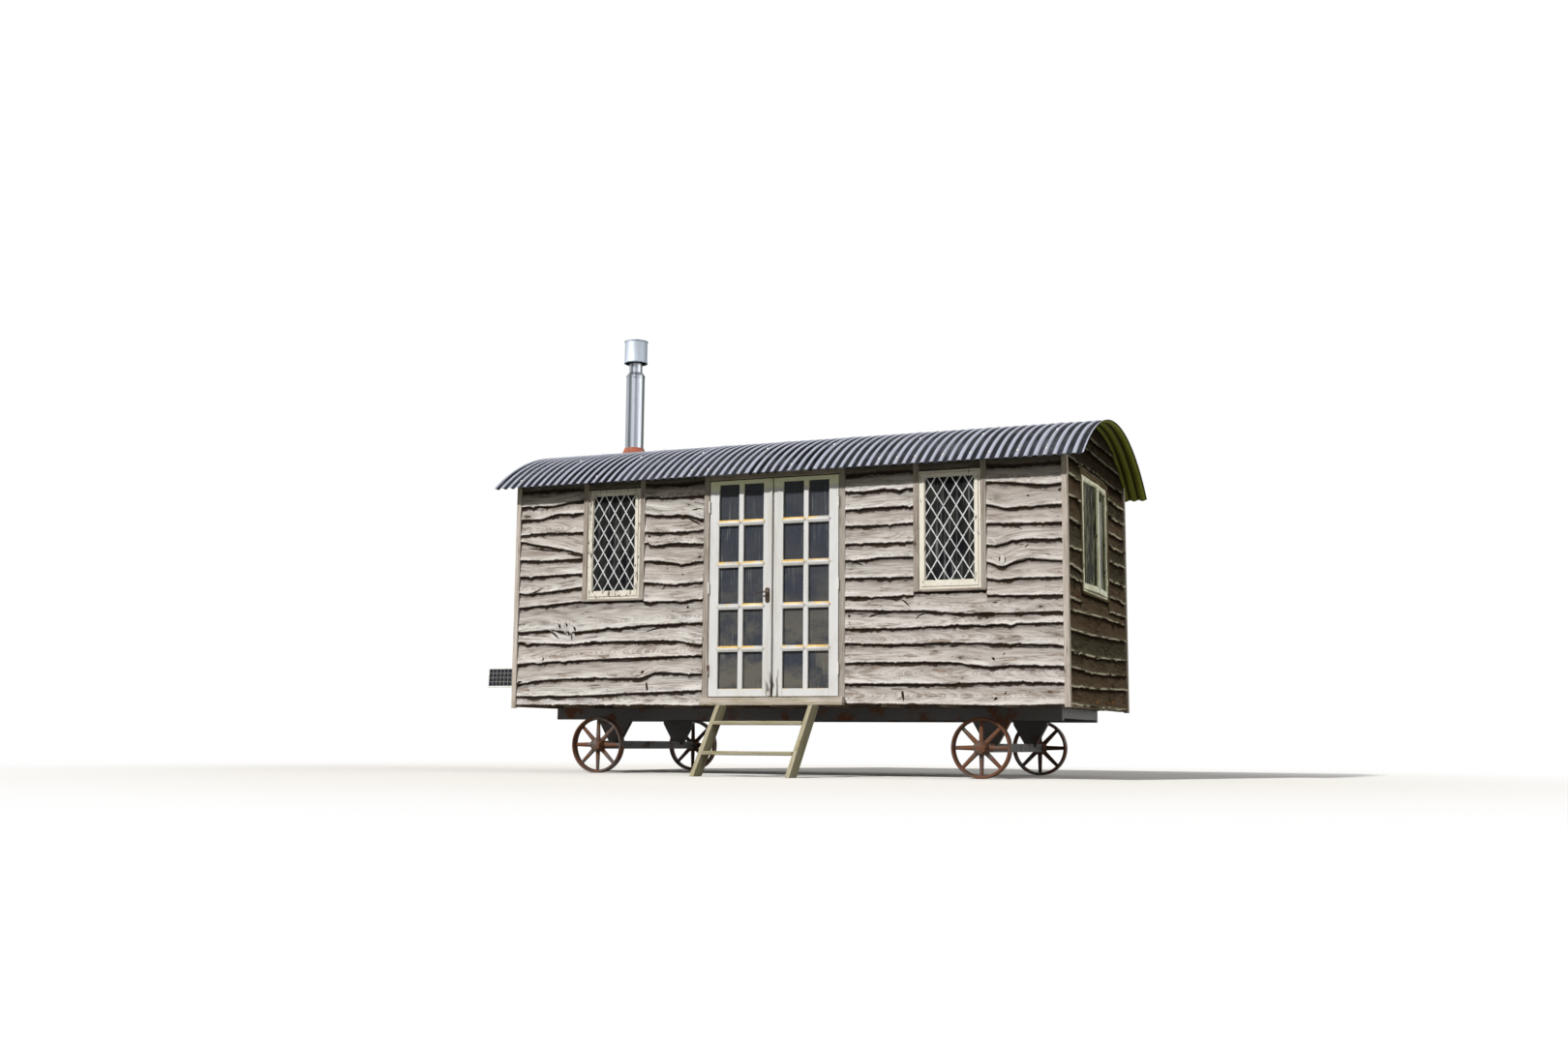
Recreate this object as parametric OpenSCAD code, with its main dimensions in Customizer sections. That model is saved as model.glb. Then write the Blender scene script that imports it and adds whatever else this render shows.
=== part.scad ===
// Shepherds hut on wheels: timber body with lapped boards, curved corrugated roof, French doors and a flue.
// Millimetres, +Z up. +X runs along the hut to the gable with the window, -Y is the door side,
// and Z = 0 is the ground.

/* [Body] */
// Length over the corner posts
body_l = 4950; // [4700:10:5600]
// Width over the corner posts
body_w = 2290; // [2200:10:2600]
// Ground to the lower edge of the boarding
clear_h = 560; // [540:5:700]
// Thickness of the framed and lined walls
wall_t = 65; // [50:5:90]
// Running gap between pieces that seat on each other
seat_gap = 0.3; // [0.2:0.1:0.5]

/* [Boarding] */
// Depth of the boarding in front of the wall frame
clad_t = 30; // [28:1:40]
// Thickness of a lapped board at its lower edge
board_low_t = 26; // [20:1:27]
// Thickness of a lapped board at its upper edge
board_top_t = 9; // [6:1:14]
// Height of board that shows
board_h = 150; // [120:5:200]
// Width of the corner posts and window battens
post_w = 45; // [40:1:60]
// Length of the corner posts below the boarding
post_drop = 8; // [0:1:20]

/* [Floor and chassis] */
// Thickness of the floor boards
floor_t = 30; // [20:1:36]
// Height of the floor joists
joist_h = 45; // [40:1:50]
// Width of the floor joists
joist_w = 50; // [40:1:75]
// Number of floor joists
joist_n = 11; // [9:1:13]
// Height of the chassis rails
rail_h = 100; // [80:5:120]
// Width of the chassis rails
rail_w = 60; // [50:5:80]
// Distance between the middles of the chassis rails
rail_track = 1250; // [1100:10:1400]
// Inset of the chassis ends from the body ends
chassis_inset = 180; // [150:10:260]
// Distance from each body end to its axle
axle_inset = 760; // [700:10:1000]
// Height and width of the axle beams
axle_t = 70; // [60:5:90]
// Half width of the axle brackets at the chassis rails
bracket_half = 150; // [110:5:170]
// Diameter of the wheel journals
journal_d = 50; // [40:1:60]
// Diameter of the wheels
wheel_d = 480; // [440:10:500]
// Width of the wheel treads
wheel_w = 80; // [60:5:100]
// Thickness of the wheel rims
rim_t = 16; // [12:1:24]
// Diameter of the wheel hubs
hub_d = 120; // [100:5:150]
// Length of the wheel hubs
hub_l = 120; // [100:5:140]
// Number of spokes
spoke_n = 8; // [6:1:10]
// Thickness of a spoke
spoke_t = 22; // [16:1:30]
// Distance from the outer wheel face to the boarding
wheel_inset = 150; // [110:10:220]

/* [Doors] */
// Left end of the body to the door opening
door_x = 1894; // [1850:1:1960]
// Width of the door opening
door_w = 1170; // [1100:5:1200]
// Height of the door leaves
leaf_h = 1810; // [1760:5:1810]
// Thickness of the door leaves
leaf_t = 44; // [40:1:50]
// Gap between the leaves where they meet
meet_gap = 11; // [10:1:14]
// Gap between a leaf and its jamb
jamb_gap = 6; // [6:1:8]
// Gap over the sill and under the head
leaf_gap = 8; // [6:1:9]
// Set-back of the leaf faces from the corner posts
leaf_inset = 12; // [8:1:16]
// Width of the stiles
stile_w = 83; // [70:1:95]
// Height of the top rail
rail_top_h = 33; // [30:1:50]
// Height of the bottom rail
rail_low_h = 66; // [55:1:90]
// Width of the upright glazing bar
bar_w = 44; // [30:1:50]
// Height of the level glazing bars
bar_h = 49; // [30:1:55]
// Rows of panes
pane_rows = 5; // [4:1:6]
// Depth of the glazing rebates
rebate = 8; // [6:1:12]
// Thickness of the glass
glass_t = 4; // [3:1:6]
// Width of the door jambs
jamb_w = 52; // [45:1:60]
// Height of the frame head
head_h = 34; // [28:1:36]
// Width of the stop that the leaves close on
stop_w = 14; // [10:1:18]
// Height of the door sill
sill_h = 65; // [55:1:70]
// Overhang of the door sill in front of the corner posts
sill_out = 42; // [30:1:60]

/* [Hinges and lever] */
// Diameter of the hinge knuckles
knuckle_d = 18; // [16:1:20]
// Length of one hinge knuckle
knuckle_l = 30; // [25:1:40]
// Diameter of the hinge pins
pin_d = 8; // [6:1:10]
// Radial running clearance of the pins and the lever
pin_clear = 0.05; // [0.02:0.01:0.1]
// Thickness of the hinge flaps
flap_t = 3.5; // [3:0.5:4]
// Width of the hinge flaps
flap_w = 38; // [30:1:44]
// End inset of the outer hinges
hinge_inset = 220; // [180:10:300]
// Height of the lever plate
plate_h = 128; // [110:1:150]
// Width of the lever plate
plate_w = 40; // [34:1:44]
// Height of the lever above the plate's middle
lever_up = 23; // [16:1:30]
// Thickness of the lever plate
plate_t = 6; // [5:1:8]
// Height of the lever above the foot of the leaf
lever_z = 857; // [800:1:950]
// Length of the lever from its pivot
lever_l = 112; // [90:1:130]
// Diameter of the lever and its neck
lever_d = 16; // [14:1:18]
// Distance from the plate to the lever's middle line
lever_out = 34; // [28:1:40]

/* [Windows] */
// Left end of the body to the left window
win_left_x = 725; // [700:1:760]
// Right end of the body to the right window
win_right_x = 695; // [680:1:720]
// Width of a front window
win_w = 510; // [460:5:520]
// Height of the windows
win_h = 950; // [900:5:950]
// Depth of the window tops below the top of the door leaves
win_low = 18; // [0:1:40]
// Width of the fixed window frame
win_frame_w = 20; // [16:1:24]
// Width of the casement stiles
casement_w = 27; // [24:1:36]
// Height of the casement bottom rail
casement_low_h = 44; // [36:1:60]
// Thickness of the casements
casement_t = 38; // [34:1:44]
// Height of the window sills
win_sill_h = 38; // [30:1:50]
// Overhang of the window sills in front of the corner posts
win_sill_out = 14; // [8:1:24]
// Door side of the body to the gable window
gable_win_y = 540; // [500:5:640]
// Width of the gable window
gable_win_w = 960; // [900:5:1000]
// Angle at which the gable casements stand open
ajar = 4; // [2:0.5:6]

/* [Roof] */
// Depth of the sheet edge below the top of the door frame
eave_low = 30; // [5:1:60]
// Rise of the roof from the sheet edge to the crown
roof_rise = 475; // [450:5:560]
// Overhang of the eaves
eave_out = 146; // [120:2:180]
// Overhang at the left end
over_left = 140; // [120:2:160]
// Overhang at the right end
over_right = 168; // [150:2:190]
// Pitch of the corrugations
wave_p = 76.2; // [70:0.2:84]
// Depth of the corrugations
wave_d = 18; // [14:1:22]
// Thickness of the sheets
sheet_t = 2; // [1.5:0.5:3]
// Corrugations that one sheet covers
sheet_waves = 8; // [7:1:10]
// Thickness of the boarded and lined roof deck
deck_t = 60; // [40:5:70]

/* [Flue] */
// Left end of the body to the flue
flue_x = 552; // [500:1:700]
// Outer diameter of the twin-wall pipe
pipe_d = 174; // [150:1:180]
// Diameter of the flue's inner pipe
liner_d = 124; // [110:1:130]
// Wall of the inner pipe
liner_t = 3; // [2:1:4]
// Length of the twin-wall pipe over the crown
pipe_up = 804; // [600:1:900]
// Length of the pipe below the deck
pipe_down = 90; // [60:1:110]
// Length of the neck under the cowl
neck_l = 92; // [70:1:120]
// Diameter of the cowl
cowl_d = 226; // [200:1:260]
// Height of the cowl
cowl_h = 216; // [180:1:260]
// Height of the boot above the crown
boot_h = 76; // [60:1:100]
// Diameter of the boot at its foot
boot_d = 262; // [240:1:300]

/* [Steps] */
// Number of treads
tread_n = 2; // [2:1:2]
// Rise of one step
step_rise = 240; // [220:2:250]
// Run of one step
step_run = 200; // [180:2:230]
// Length of the treads
tread_l = 780; // [700:10:840]
// Depth of the treads
tread_d = 180; // [150:5:200]
// Thickness of the treads
tread_t = 32; // [26:1:40]
// Thickness of the stringers
stringer_t = 35; // [28:1:45]
// Width of the stringers
stringer_w = 120; // [100:5:130]
// Door side of the body to the middle of the top tread
tread_y = 205; // [190:5:240]
// Height of the lowest tread
tread_low_z = 200; // [180:5:220]

/* [Solar panel] */
// Width of the panel
solar_w = 375; // [300:5:420]
// Height of the panel along its face
solar_h = 175; // [150:5:300]
// Thickness of the panel
solar_t = 25; // [18:1:35]
// Width of the panel's frame
solar_rim = 16; // [10:1:24]
// Backward tilt of the panel
solar_tilt = 4; // [0:1:50]
// Gap between the panel and the boarding
solar_gap = 30; // [20:5:60]
// Door side of the body to the panel
solar_y = 245; // [150:5:300]
// Lower edge of the boarding to the middle of the panel
solar_z = 270; // [220:5:320]
// Width of the bracket's square bar
bracket_t = 30; // [24:1:40]

/* [Hidden] */
$fn = 96;
arc_fn = 240;
small = 1;
big = 9000;

// Levels and planes
floor_z = clear_h + joist_h + floor_t;
wall_in = clad_t + wall_t;
mid_w = body_w / 2;

// Doors
leaf_w = (door_w - 2 * jamb_gap - meet_gap) / 2;
sill_top = floor_z;
leaf_z = sill_top + leaf_gap;
leaf_x = [door_x + jamb_gap, door_x + door_w - jamb_gap - leaf_w];
head_z = leaf_z + leaf_h + leaf_gap;
frame_top = head_z + head_h;
pane_w = (leaf_w - 2 * stile_w - bar_w) / 2;
pane_h = (leaf_h - rail_top_h - rail_low_h - (pane_rows - 1) * bar_h) / pane_rows;
glass_in = leaf_t / 2;
knuckle_gap = 0.5;
hinge_y = leaf_inset - knuckle_d / 2 - knuckle_gap;
hinge_x = [door_x + jamb_gap / 2, door_x + door_w - jamb_gap / 2];
hinge_z = [leaf_z + hinge_inset, leaf_z + leaf_h / 2, leaf_z + leaf_h - hinge_inset];
lever_x = leaf_x[0] + leaf_w - stile_w / 2;
lever_y = leaf_inset - plate_t - lever_out;
lever_neck_in = plate_t - 1;

// Roof arc: the valleys' underside passes through the eave tips and lies under the crown
eave_z = frame_top - eave_low;
crown_z = eave_z + roof_rise;
under_crown = crown_z - wave_d - sheet_t;
eave_half = mid_w + eave_out;
eave_drop = under_crown - eave_z;
r_under = (eave_half * eave_half + eave_drop * eave_drop) / (2 * eave_drop);
arc_z = under_crown - r_under;
arc_a = asin(eave_half / r_under);
r_deck = r_under - seat_gap;
r_ceiling = r_under - deck_t;
r_top = r_under + wave_d + 2 * sheet_t + seat_gap;
waves = round((body_l + over_left + over_right) / wave_p);
roof_l = waves * wave_p;
sheet_n = ceil(waves / sheet_waves);
sheet_third = round(sheet_n / 3);
wave_steps = 8;
pipe_cut = 5;

// Windows
win_x = [win_left_x, body_l - win_right_x - win_w];
win_hi = leaf_z + leaf_h - win_low;
win_lo = win_hi - win_h;
trim_lo = win_lo - win_sill_h;
casement_in = 18;
casement_proud = 6;
casement_gap = 2;
gable_leaf_w = gable_win_w / 2 - win_frame_w - 2.5 * casement_gap;
gable_leaf_h = win_h - 2 * win_frame_w - 2 * casement_gap;

// Undercarriage
rail_top = clear_h;
rail_lo = rail_top - rail_h;
axle_x = [axle_inset, body_l - axle_inset];
wheel_r = wheel_d / 2;

// Flue
pipe_top = crown_z + pipe_up;
cowl_lo = pipe_top + neck_l;
pipe_foot = arc_z + r_ceiling - pipe_down;

// Steps
tread_top = [for (i = [0 : tread_n - 1]) tread_low_z + (tread_n - 1 - i) * step_rise];
tread_mid = [for (i = [0 : tread_n - 1]) -tread_y - i * step_run];
door_mid = door_x + door_w / 2;
stringer_top = floor_z - sill_h - seat_gap;
step_a = atan(step_rise / step_run);

// Solar panel
solar_cx = -solar_gap - solar_w / 2;
solar_cz = clear_h + solar_z;
solar_reach = solar_gap + solar_w;

// Middle of the whole model, which becomes the origin
stringer_half = stringer_w / sin(step_a) / 2;
front_reach = tread_y + (tread_n - 1) * step_run
    + max(tread_d / 2, stringer_half + (tread_low_z - tread_t / 2) * step_run / step_rise);
back_reach = mid_w + r_top * sin(arc_a);
left_reach = max(over_left, solar_reach);
right_reach = roof_l - over_left;
mid = [(right_reach - left_reach) / 2, (back_reach - front_reach) / 2, 0];

module placed() {
    translate(-mid) children();
}

// Solid round the roof's axis, radius r
module arch(r) {
    translate([-big / 2, mid_w, arc_z]) rotate([0, 90, 0]) cylinder(r = r, h = 2 * big, $fn = arc_fn);
}

module block(lo, hi) {
    translate(lo) cube(hi - lo);
}

// Pieces on the far side of the hut's length are the near ones mirrored
module mirror_y() {
    translate([0, body_w, 0]) mirror([0, 1, 0]) children();
}

module mirror_x() {
    translate([body_l, 0, 0]) mirror([1, 0, 0]) children();
}

// Undercarriage

module chassis() {
    color("#3c3b38") placed() union() {
        for (s = [-1, 1])
            block([chassis_inset, mid_w + s * rail_track / 2 - rail_w / 2, rail_lo],
                [body_l - chassis_inset, mid_w + s * rail_track / 2 + rail_w / 2, rail_top]);
        for (x = [chassis_inset, axle_x[0] - rail_w / 2, body_l / 2 - rail_w / 2, axle_x[1] - rail_w / 2,
                body_l - chassis_inset - rail_w])
            block([x, mid_w - rail_track / 2, rail_lo + rail_h / 5],
                [x + rail_w, mid_w + rail_track / 2, rail_top]);
    }
}

module axle(x) {
    foot = rail_lo - wheel_r;
    foot_t = 20;
    union() {
        block([x - axle_t / 2, wheel_inset + hub_l + small, wheel_r - axle_t / 2],
            [x + axle_t / 2, body_w - wheel_inset - hub_l - small, wheel_r + axle_t / 2]);
        translate([x, wheel_inset + small, wheel_r]) rotate([-90, 0, 0])
            cylinder(d = journal_d, h = body_w - 2 * wheel_inset - 2 * small);
        for (s = [-1, 1])
            translate([x, mid_w + s * rail_track / 2, wheel_r]) rotate([90, 0, 0])
                linear_extrude(height = rail_w, center = true)
                    polygon([[-axle_t / 2, 0], [axle_t / 2, 0], [bracket_half, foot - foot_t],
                        [bracket_half, foot], [-bracket_half, foot], [-bracket_half, foot - foot_t]]);
    }
}

module axles() {
    color("#3c3b38") placed() for (x = axle_x) axle(x);
}

// Spoked wheel on its journal, its axle along Y and its outer face to -Y
module wheel() {
    bore = journal_d + 2 * seat_gap;
    root = 5;
    spoke_l = wheel_r - rim_t - hub_d / 2 + root + rim_t / 4;
    rotate([-90, 0, 0]) difference() {
        union() {
            translate([0, 0, (hub_l - wheel_w) / 2]) rotate_extrude()
                translate([wheel_r - rim_t, 0]) square([rim_t, wheel_w]);
            cylinder(d = hub_d, h = hub_l);
            for (i = [0 : spoke_n - 1]) rotate([0, 0, (i + 0.5) * 360 / spoke_n])
                translate([hub_d / 2 - root, -spoke_t / 2, hub_l / 2 - spoke_t])
                    cube([spoke_l, spoke_t, 2 * spoke_t]);
        }
        translate([0, 0, -small]) cylinder(d = bore, h = hub_l + 2 * small);
    }
}

module wheel_left_front() {
    color("#34322f") placed() translate([axle_x[0], wheel_inset, wheel_r]) wheel();
}

module wheel_left_back() {
    color("#34322f") placed() mirror_y() translate([axle_x[0], wheel_inset, wheel_r]) wheel();
}

module wheel_right_front() {
    color("#34322f") placed() translate([axle_x[1], wheel_inset, wheel_r]) wheel();
}

module wheel_right_back() {
    color("#34322f") placed() mirror_y() translate([axle_x[1], wheel_inset, wheel_r]) wheel();
}

// Floor and walls

module floor() {
    span = body_l - 2 * clad_t - joist_w;
    color("#8d7a63") placed() union() {
        block([clad_t, clad_t, floor_z - floor_t], [body_l - clad_t, body_w - clad_t, floor_z]);
        for (i = [0 : joist_n - 1])
            block([clad_t + i * span / (joist_n - 1), clad_t, clear_h],
                [clad_t + joist_w + i * span / (joist_n - 1), body_w - clad_t, floor_z - floor_t + small]);
    }
}

// Long wall from x0 to x1 under the deck, with its outer face to -Y
module long_wall(x0, x1) {
    intersection() {
        block([x0, clad_t, floor_z], [x1, wall_in, floor_z + big]);
        arch(r_ceiling - seat_gap);
    }
}

module window_hole(x, w, y0, y1) {
    block([x - seat_gap, y0, win_lo - seat_gap], [x + w + seat_gap, y1, win_hi + seat_gap]);
}

module front_wall_left() {
    color("#8d7a63") placed() difference() {
        long_wall(wall_in + seat_gap, door_x - jamb_w - seat_gap);
        window_hole(win_x[0], win_w, 0, wall_in + small);
    }
}

module front_wall_right() {
    color("#8d7a63") placed() difference() {
        long_wall(door_x + door_w + jamb_w + seat_gap, body_l - wall_in - seat_gap);
        window_hole(win_x[1], win_w, 0, wall_in + small);
    }
}

module front_wall_over_door() {
    color("#8d7a63") placed() union() {
        intersection() {
            block([door_x - jamb_w, clad_t, frame_top + seat_gap],
                [door_x + door_w + jamb_w, wall_in, frame_top + big]);
            arch(r_ceiling - seat_gap);
        }
        intersection() {
            block([door_x - jamb_w, leaf_inset, frame_top + seat_gap],
                [door_x + door_w + jamb_w, clad_t, frame_top + big]);
            arch(r_deck - seat_gap);
        }
    }
}

module back_wall() {
    color("#8d7a63") placed() mirror_y() long_wall(wall_in + seat_gap, body_l - wall_in - seat_gap);
}

// Gable wall with its outer face to -X
module gable_wall() {
    intersection() {
        block([clad_t, clad_t, floor_z], [wall_in, body_w - clad_t, floor_z + big]);
        arch(r_ceiling - seat_gap);
    }
}

module gable_hole(x0, x1) {
    block([x0, gable_win_y - seat_gap, win_lo - seat_gap],
        [x1, gable_win_y + gable_win_w + seat_gap, win_hi + seat_gap]);
}

module left_gable_wall() {
    color("#8d7a63") placed() gable_wall();
}

module right_gable_wall() {
    color("#8d7a63") placed() difference() {
        mirror_x() gable_wall();
        gable_hole(body_l - wall_in - small, body_l);
    }
}

// Lapped boards from s0 to s1: an upright saw-tooth profile with its teeth to -Y
module boards(s0, s1) {
    rows = ceil((crown_z - clear_h) / board_h);
    translate([s0, clad_t, clear_h]) rotate([90, 0, 90]) linear_extrude(height = s1 - s0)
        polygon(concat([[0, rows * board_h], [0, 0]],
            [for (i = [0 : rows - 1])
                each [[-board_low_t, i * board_h], [-board_top_t, (i + 1) * board_h]]]));
}

// Boards of a long side, cut by the underside of the roof sheets
module long_boards(s0, s1) {
    intersection() {
        boards(s0, s1);
        arch(r_deck - seat_gap);
    }
}

// Room that a window and its trim take in the boarding
module trim_hole(x, w) {
    block([x - post_w - seat_gap, -post_w, trim_lo - seat_gap],
        [x + w + post_w + seat_gap, clad_t + small, clear_h + big]);
}

module front_cladding_left() {
    color("#a39a90") placed() difference() {
        long_boards(post_w + seat_gap, door_x - jamb_w - seat_gap);
        trim_hole(win_x[0], win_w);
    }
}

module front_cladding_right() {
    color("#a39a90") placed() difference() {
        long_boards(door_x + door_w + jamb_w + seat_gap, body_l - post_w - seat_gap);
        trim_hole(win_x[1], win_w);
    }
}

module back_cladding() {
    color("#a39a90") placed() mirror_y() long_boards(post_w + seat_gap, body_l - post_w - seat_gap);
}

// Boards of a gable with their teeth to -X, cut by the underside of the roof sheets
module gable_boards() {
    intersection() {
        mirror([1, -1, 0]) boards(post_w + seat_gap, body_w - post_w - seat_gap);
        arch(r_under - seat_gap);
    }
}

module left_cladding() {
    color("#a39a90") placed() gable_boards();
}

module right_cladding() {
    color("#a39a90") placed() difference() {
        mirror_x() gable_boards();
        block([body_l - clad_t - small, gable_win_y - post_w - seat_gap, trim_lo - seat_gap],
            [body_l + post_w, gable_win_y + gable_win_w + post_w + seat_gap, win_hi + post_w + seat_gap]);
    }
}

// One corner post: an angle of two boards round the wall frame's corner
module corner_post() {
    intersection() {
        difference() {
            block([0, 0, clear_h - post_drop], [post_w, post_w, crown_z]);
            block([clad_t - seat_gap, clad_t - seat_gap, 0], [big, big, big]);
        }
        arch(r_deck - seat_gap);
    }
}

module corner_posts() {
    color("#7f7a72") placed() {
        corner_post();
        mirror_x() corner_post();
        mirror_y() corner_post();
        mirror_x() mirror_y() corner_post();
    }
}

// Battens beside a window and the sill below it, one joined piece, on a wall that faces -Y
module window_surround(x, w) {
    front = clad_t - board_low_t;
    union() {
        for (s = [x - post_w, x + w])
            intersection() {
                block([s, front, win_lo - small], [s + post_w, clad_t, crown_z]);
                arch(r_deck - seat_gap);
            }
        block([x - post_w, -win_sill_out, trim_lo], [x + w + post_w, clad_t, win_lo]);
    }
}

module gable_surround() {
    front = body_l - clad_t + board_low_t;
    y0 = gable_win_y - post_w;
    y1 = gable_win_y + gable_win_w + post_w;
    union() {
        difference() {
            block([body_l - clad_t, y0, trim_lo], [front, y1, win_hi + post_w]);
            block([body_l - clad_t - small, gable_win_y, win_lo], [front + small, y1 - post_w, win_hi]);
        }
        block([body_l - clad_t, y0, trim_lo], [body_l + win_sill_out, y1, win_lo]);
    }
}

module window_trim() {
    color("#8a857c") placed() {
        for (x = win_x) window_surround(x, win_w);
        gable_surround();
    }
}

// Doors

module door_frame() {
    x0 = door_x;
    x1 = door_x + door_w;
    stop_y = leaf_inset + leaf_t + jamb_gap;
    color("#8a857c") placed() union() {
        for (x = [x0 - jamb_w, x1])
            block([x, leaf_inset, sill_top + seat_gap], [x + jamb_w, wall_in, frame_top]);
        block([x0 - jamb_w, leaf_inset, head_z], [x1 + jamb_w, wall_in, frame_top]);
        block([x0 - small, stop_y, sill_top + seat_gap], [x0 + stop_w, wall_in, head_z + small]);
        block([x1 - stop_w, stop_y, sill_top + seat_gap], [x1 + small, wall_in, head_z + small]);
        block([x0, stop_y, head_z - leaf_gap - stop_w], [x1, wall_in, head_z + small]);
    }
}

module door_sill() {
    color("#8a857c") placed()
        block([door_x - jamb_w, -sill_out, sill_top - sill_h],
            [door_x + door_w + jamb_w, clad_t - seat_gap, sill_top]);
}

// One glazed leaf: stiles, rails and bars with a rebate behind each pane
module leaf(x) {
    color("#e4e4de") translate([x, leaf_inset, leaf_z]) difference() {
        cube([leaf_w, leaf_t, leaf_h]);
        panes() {
            translate([0, -small, 0]) cube([pane_w, leaf_t + 2 * small, pane_h]);
            translate([-rebate, glass_in, -rebate])
                cube([pane_w + 2 * rebate, leaf_t, pane_h + 2 * rebate]);
        }
    }
}

module panes() {
    for (i = [0, 1], j = [0 : pane_rows - 1])
        translate([stile_w + i * (pane_w + bar_w), 0, rail_low_h + j * (pane_h + bar_h)])
            children([0 : $children - 1]);
}

module leaf_glass(x) {
    edge = rebate - seat_gap;
    color("#2c3436") translate([x, leaf_inset, leaf_z]) panes()
        translate([-edge, glass_in + seat_gap, -edge])
            cube([pane_w + 2 * edge, glass_t, pane_h + 2 * edge]);
}

module left_door() {
    placed() leaf(leaf_x[0]);
}

module right_door() {
    placed() leaf(leaf_x[1]);
}

module left_door_glass() {
    placed() leaf_glass(leaf_x[0]);
}

module right_door_glass() {
    placed() leaf_glass(leaf_x[1]);
}

// Jamb side of one hinge, side -1 for a jamb at the left: flap, two knuckles and the pin through all three
module jamb_hinge(x, z, side) {
    translate([x, hinge_y, z]) union() {
        for (k = [-1, 1])
            translate([0, 0, k * knuckle_l - knuckle_l / 2]) {
                cylinder(d = knuckle_d, h = knuckle_l);
                translate([side < 0 ? -flap_w : 0, leaf_inset - hinge_y - flap_t, 0])
                    cube([flap_w, flap_t, knuckle_l]);
            }
        translate([0, 0, -knuckle_l * 3 / 2]) cylinder(d = pin_d, h = knuckle_l * 3);
    }
}

module frame_hinges() {
    color("#6d655a") placed() {
        for (z = hinge_z) {
            jamb_hinge(hinge_x[0], z, -1);
            jamb_hinge(hinge_x[1], z, 1);
        }
    }
}

// Leaf side of one hinge: the middle knuckle, bored for the pin, with its flap on the leaf
module leaf_hinge(x, z, side) {
    h = knuckle_l - 2 * knuckle_gap;
    translate([x, hinge_y, z - h / 2]) difference() {
        union() {
            cylinder(d = knuckle_d, h = h);
            translate([side < 0 ? -flap_w : 0, leaf_inset - hinge_y - flap_t, 0]) cube([flap_w, flap_t, h]);
        }
        translate([0, 0, -small]) cylinder(d = pin_d + 2 * pin_clear, h = h + 2 * small);
    }
}

module left_door_knuckles() {
    color("#6d655a") placed() for (z = hinge_z) leaf_hinge(hinge_x[0], z, 1);
}

module right_door_knuckles() {
    color("#6d655a") placed() for (z = hinge_z) leaf_hinge(hinge_x[1], z, -1);
}

// Plate of the lever with its round ends and the bearing of the lever's neck
module lever_plate() {
    boss = 12;
    neck_z = leaf_z + lever_z;
    color("#4c3b2a") placed() difference() {
        union() {
            translate([lever_x, leaf_inset, neck_z - lever_up]) rotate([90, 0, 0])
                linear_extrude(height = plate_t) {
                    square([plate_w, plate_h - plate_w], center = true);
                    for (s = [-1, 1]) translate([0, s * (plate_h - plate_w) / 2]) circle(d = plate_w);
                }
            translate([lever_x, leaf_inset, neck_z]) rotate([90, 0, 0])
                cylinder(d = lever_d + boss, h = plate_t + boss / 2);
        }
        translate([lever_x, leaf_inset - plate_t + lever_neck_in, neck_z]) rotate([90, 0, 0])
            cylinder(d = lever_d + 2 * pin_clear, h = plate_t + boss);
    }
}

// Lever: a neck out of the plate and a round handle towards the hinges
module door_lever() {
    neck_z = leaf_z + lever_z;
    color("#4c3b2a") placed() union() {
        translate([lever_x, leaf_inset - plate_t + lever_neck_in - seat_gap, neck_z]) rotate([90, 0, 0])
            cylinder(d = lever_d, h = lever_out + lever_neck_in - seat_gap);
        translate([lever_x, lever_y, neck_z]) rotate([0, -90, 0])
            cylinder(d = lever_d, h = lever_l - lever_d / 2);
        translate([lever_x, lever_y, neck_z]) sphere(d = lever_d);
        translate([lever_x - lever_l + lever_d / 2, lever_y, neck_z]) sphere(d = lever_d);
    }
}

// Windows

// Casement of w x h in its own frame: lower left corner at the origin, face at y = 0
module casement(w, h) {
    pane = [w - 2 * casement_w, casement_t, h - casement_low_h - casement_w];
    difference() {
        cube([w, casement_t, h]);
        translate([casement_w, -small, casement_low_h]) cube(pane + [0, 2 * small, 0]);
        translate([casement_w - rebate, casement_in, casement_low_h - rebate])
            cube(pane + 2 * rebate * [1, 0, 1]);
    }
}

module casement_glass(w, h) {
    edge = rebate - seat_gap;
    pane = [w - 2 * casement_w, glass_t, h - casement_low_h - casement_w];
    translate([casement_w - edge, casement_in + seat_gap, casement_low_h - edge])
        cube(pane + 2 * edge * [1, 0, 1]);
}

// Fixed frame of a window in a wall that faces -Y
module window_frame(w) {
    depth = wall_in - leaf_inset;
    difference() {
        cube([w, depth, win_h]);
        translate([win_frame_w, -small, win_frame_w])
            cube([w - 2 * win_frame_w, depth + 2 * small, win_h - 2 * win_frame_w]);
    }
}

// Front window: frame and closed casement, standing a little proud of the frame
module front_window(x) {
    color("#e2ddc4") translate([x, leaf_inset, win_lo]) union() {
        window_frame(win_w);
        translate([win_frame_w, -casement_proud, win_frame_w])
            casement(win_w - 2 * win_frame_w, win_h - 2 * win_frame_w);
    }
}

module left_window() {
    placed() front_window(win_x[0]);
}

module right_window() {
    placed() front_window(win_x[1]);
}

// Turns children from a wall that faces -Y to the gable that faces +X, from the window's near lower corner
module on_gable() {
    translate([body_l, gable_win_y, win_lo]) rotate([0, 0, 90]) children();
}

// The two gable casements stand open by the same angle, each at its own hinge side
module gable_leaves() {
    for (s = [0, 1])
        translate([s * gable_win_w, 0, win_frame_w + casement_gap]) mirror([s, 0, 0])
            translate([win_frame_w, leaf_inset - casement_proud, 0]) rotate([0, 0, -ajar])
                translate([casement_gap, 0, 0]) children();
}

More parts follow.
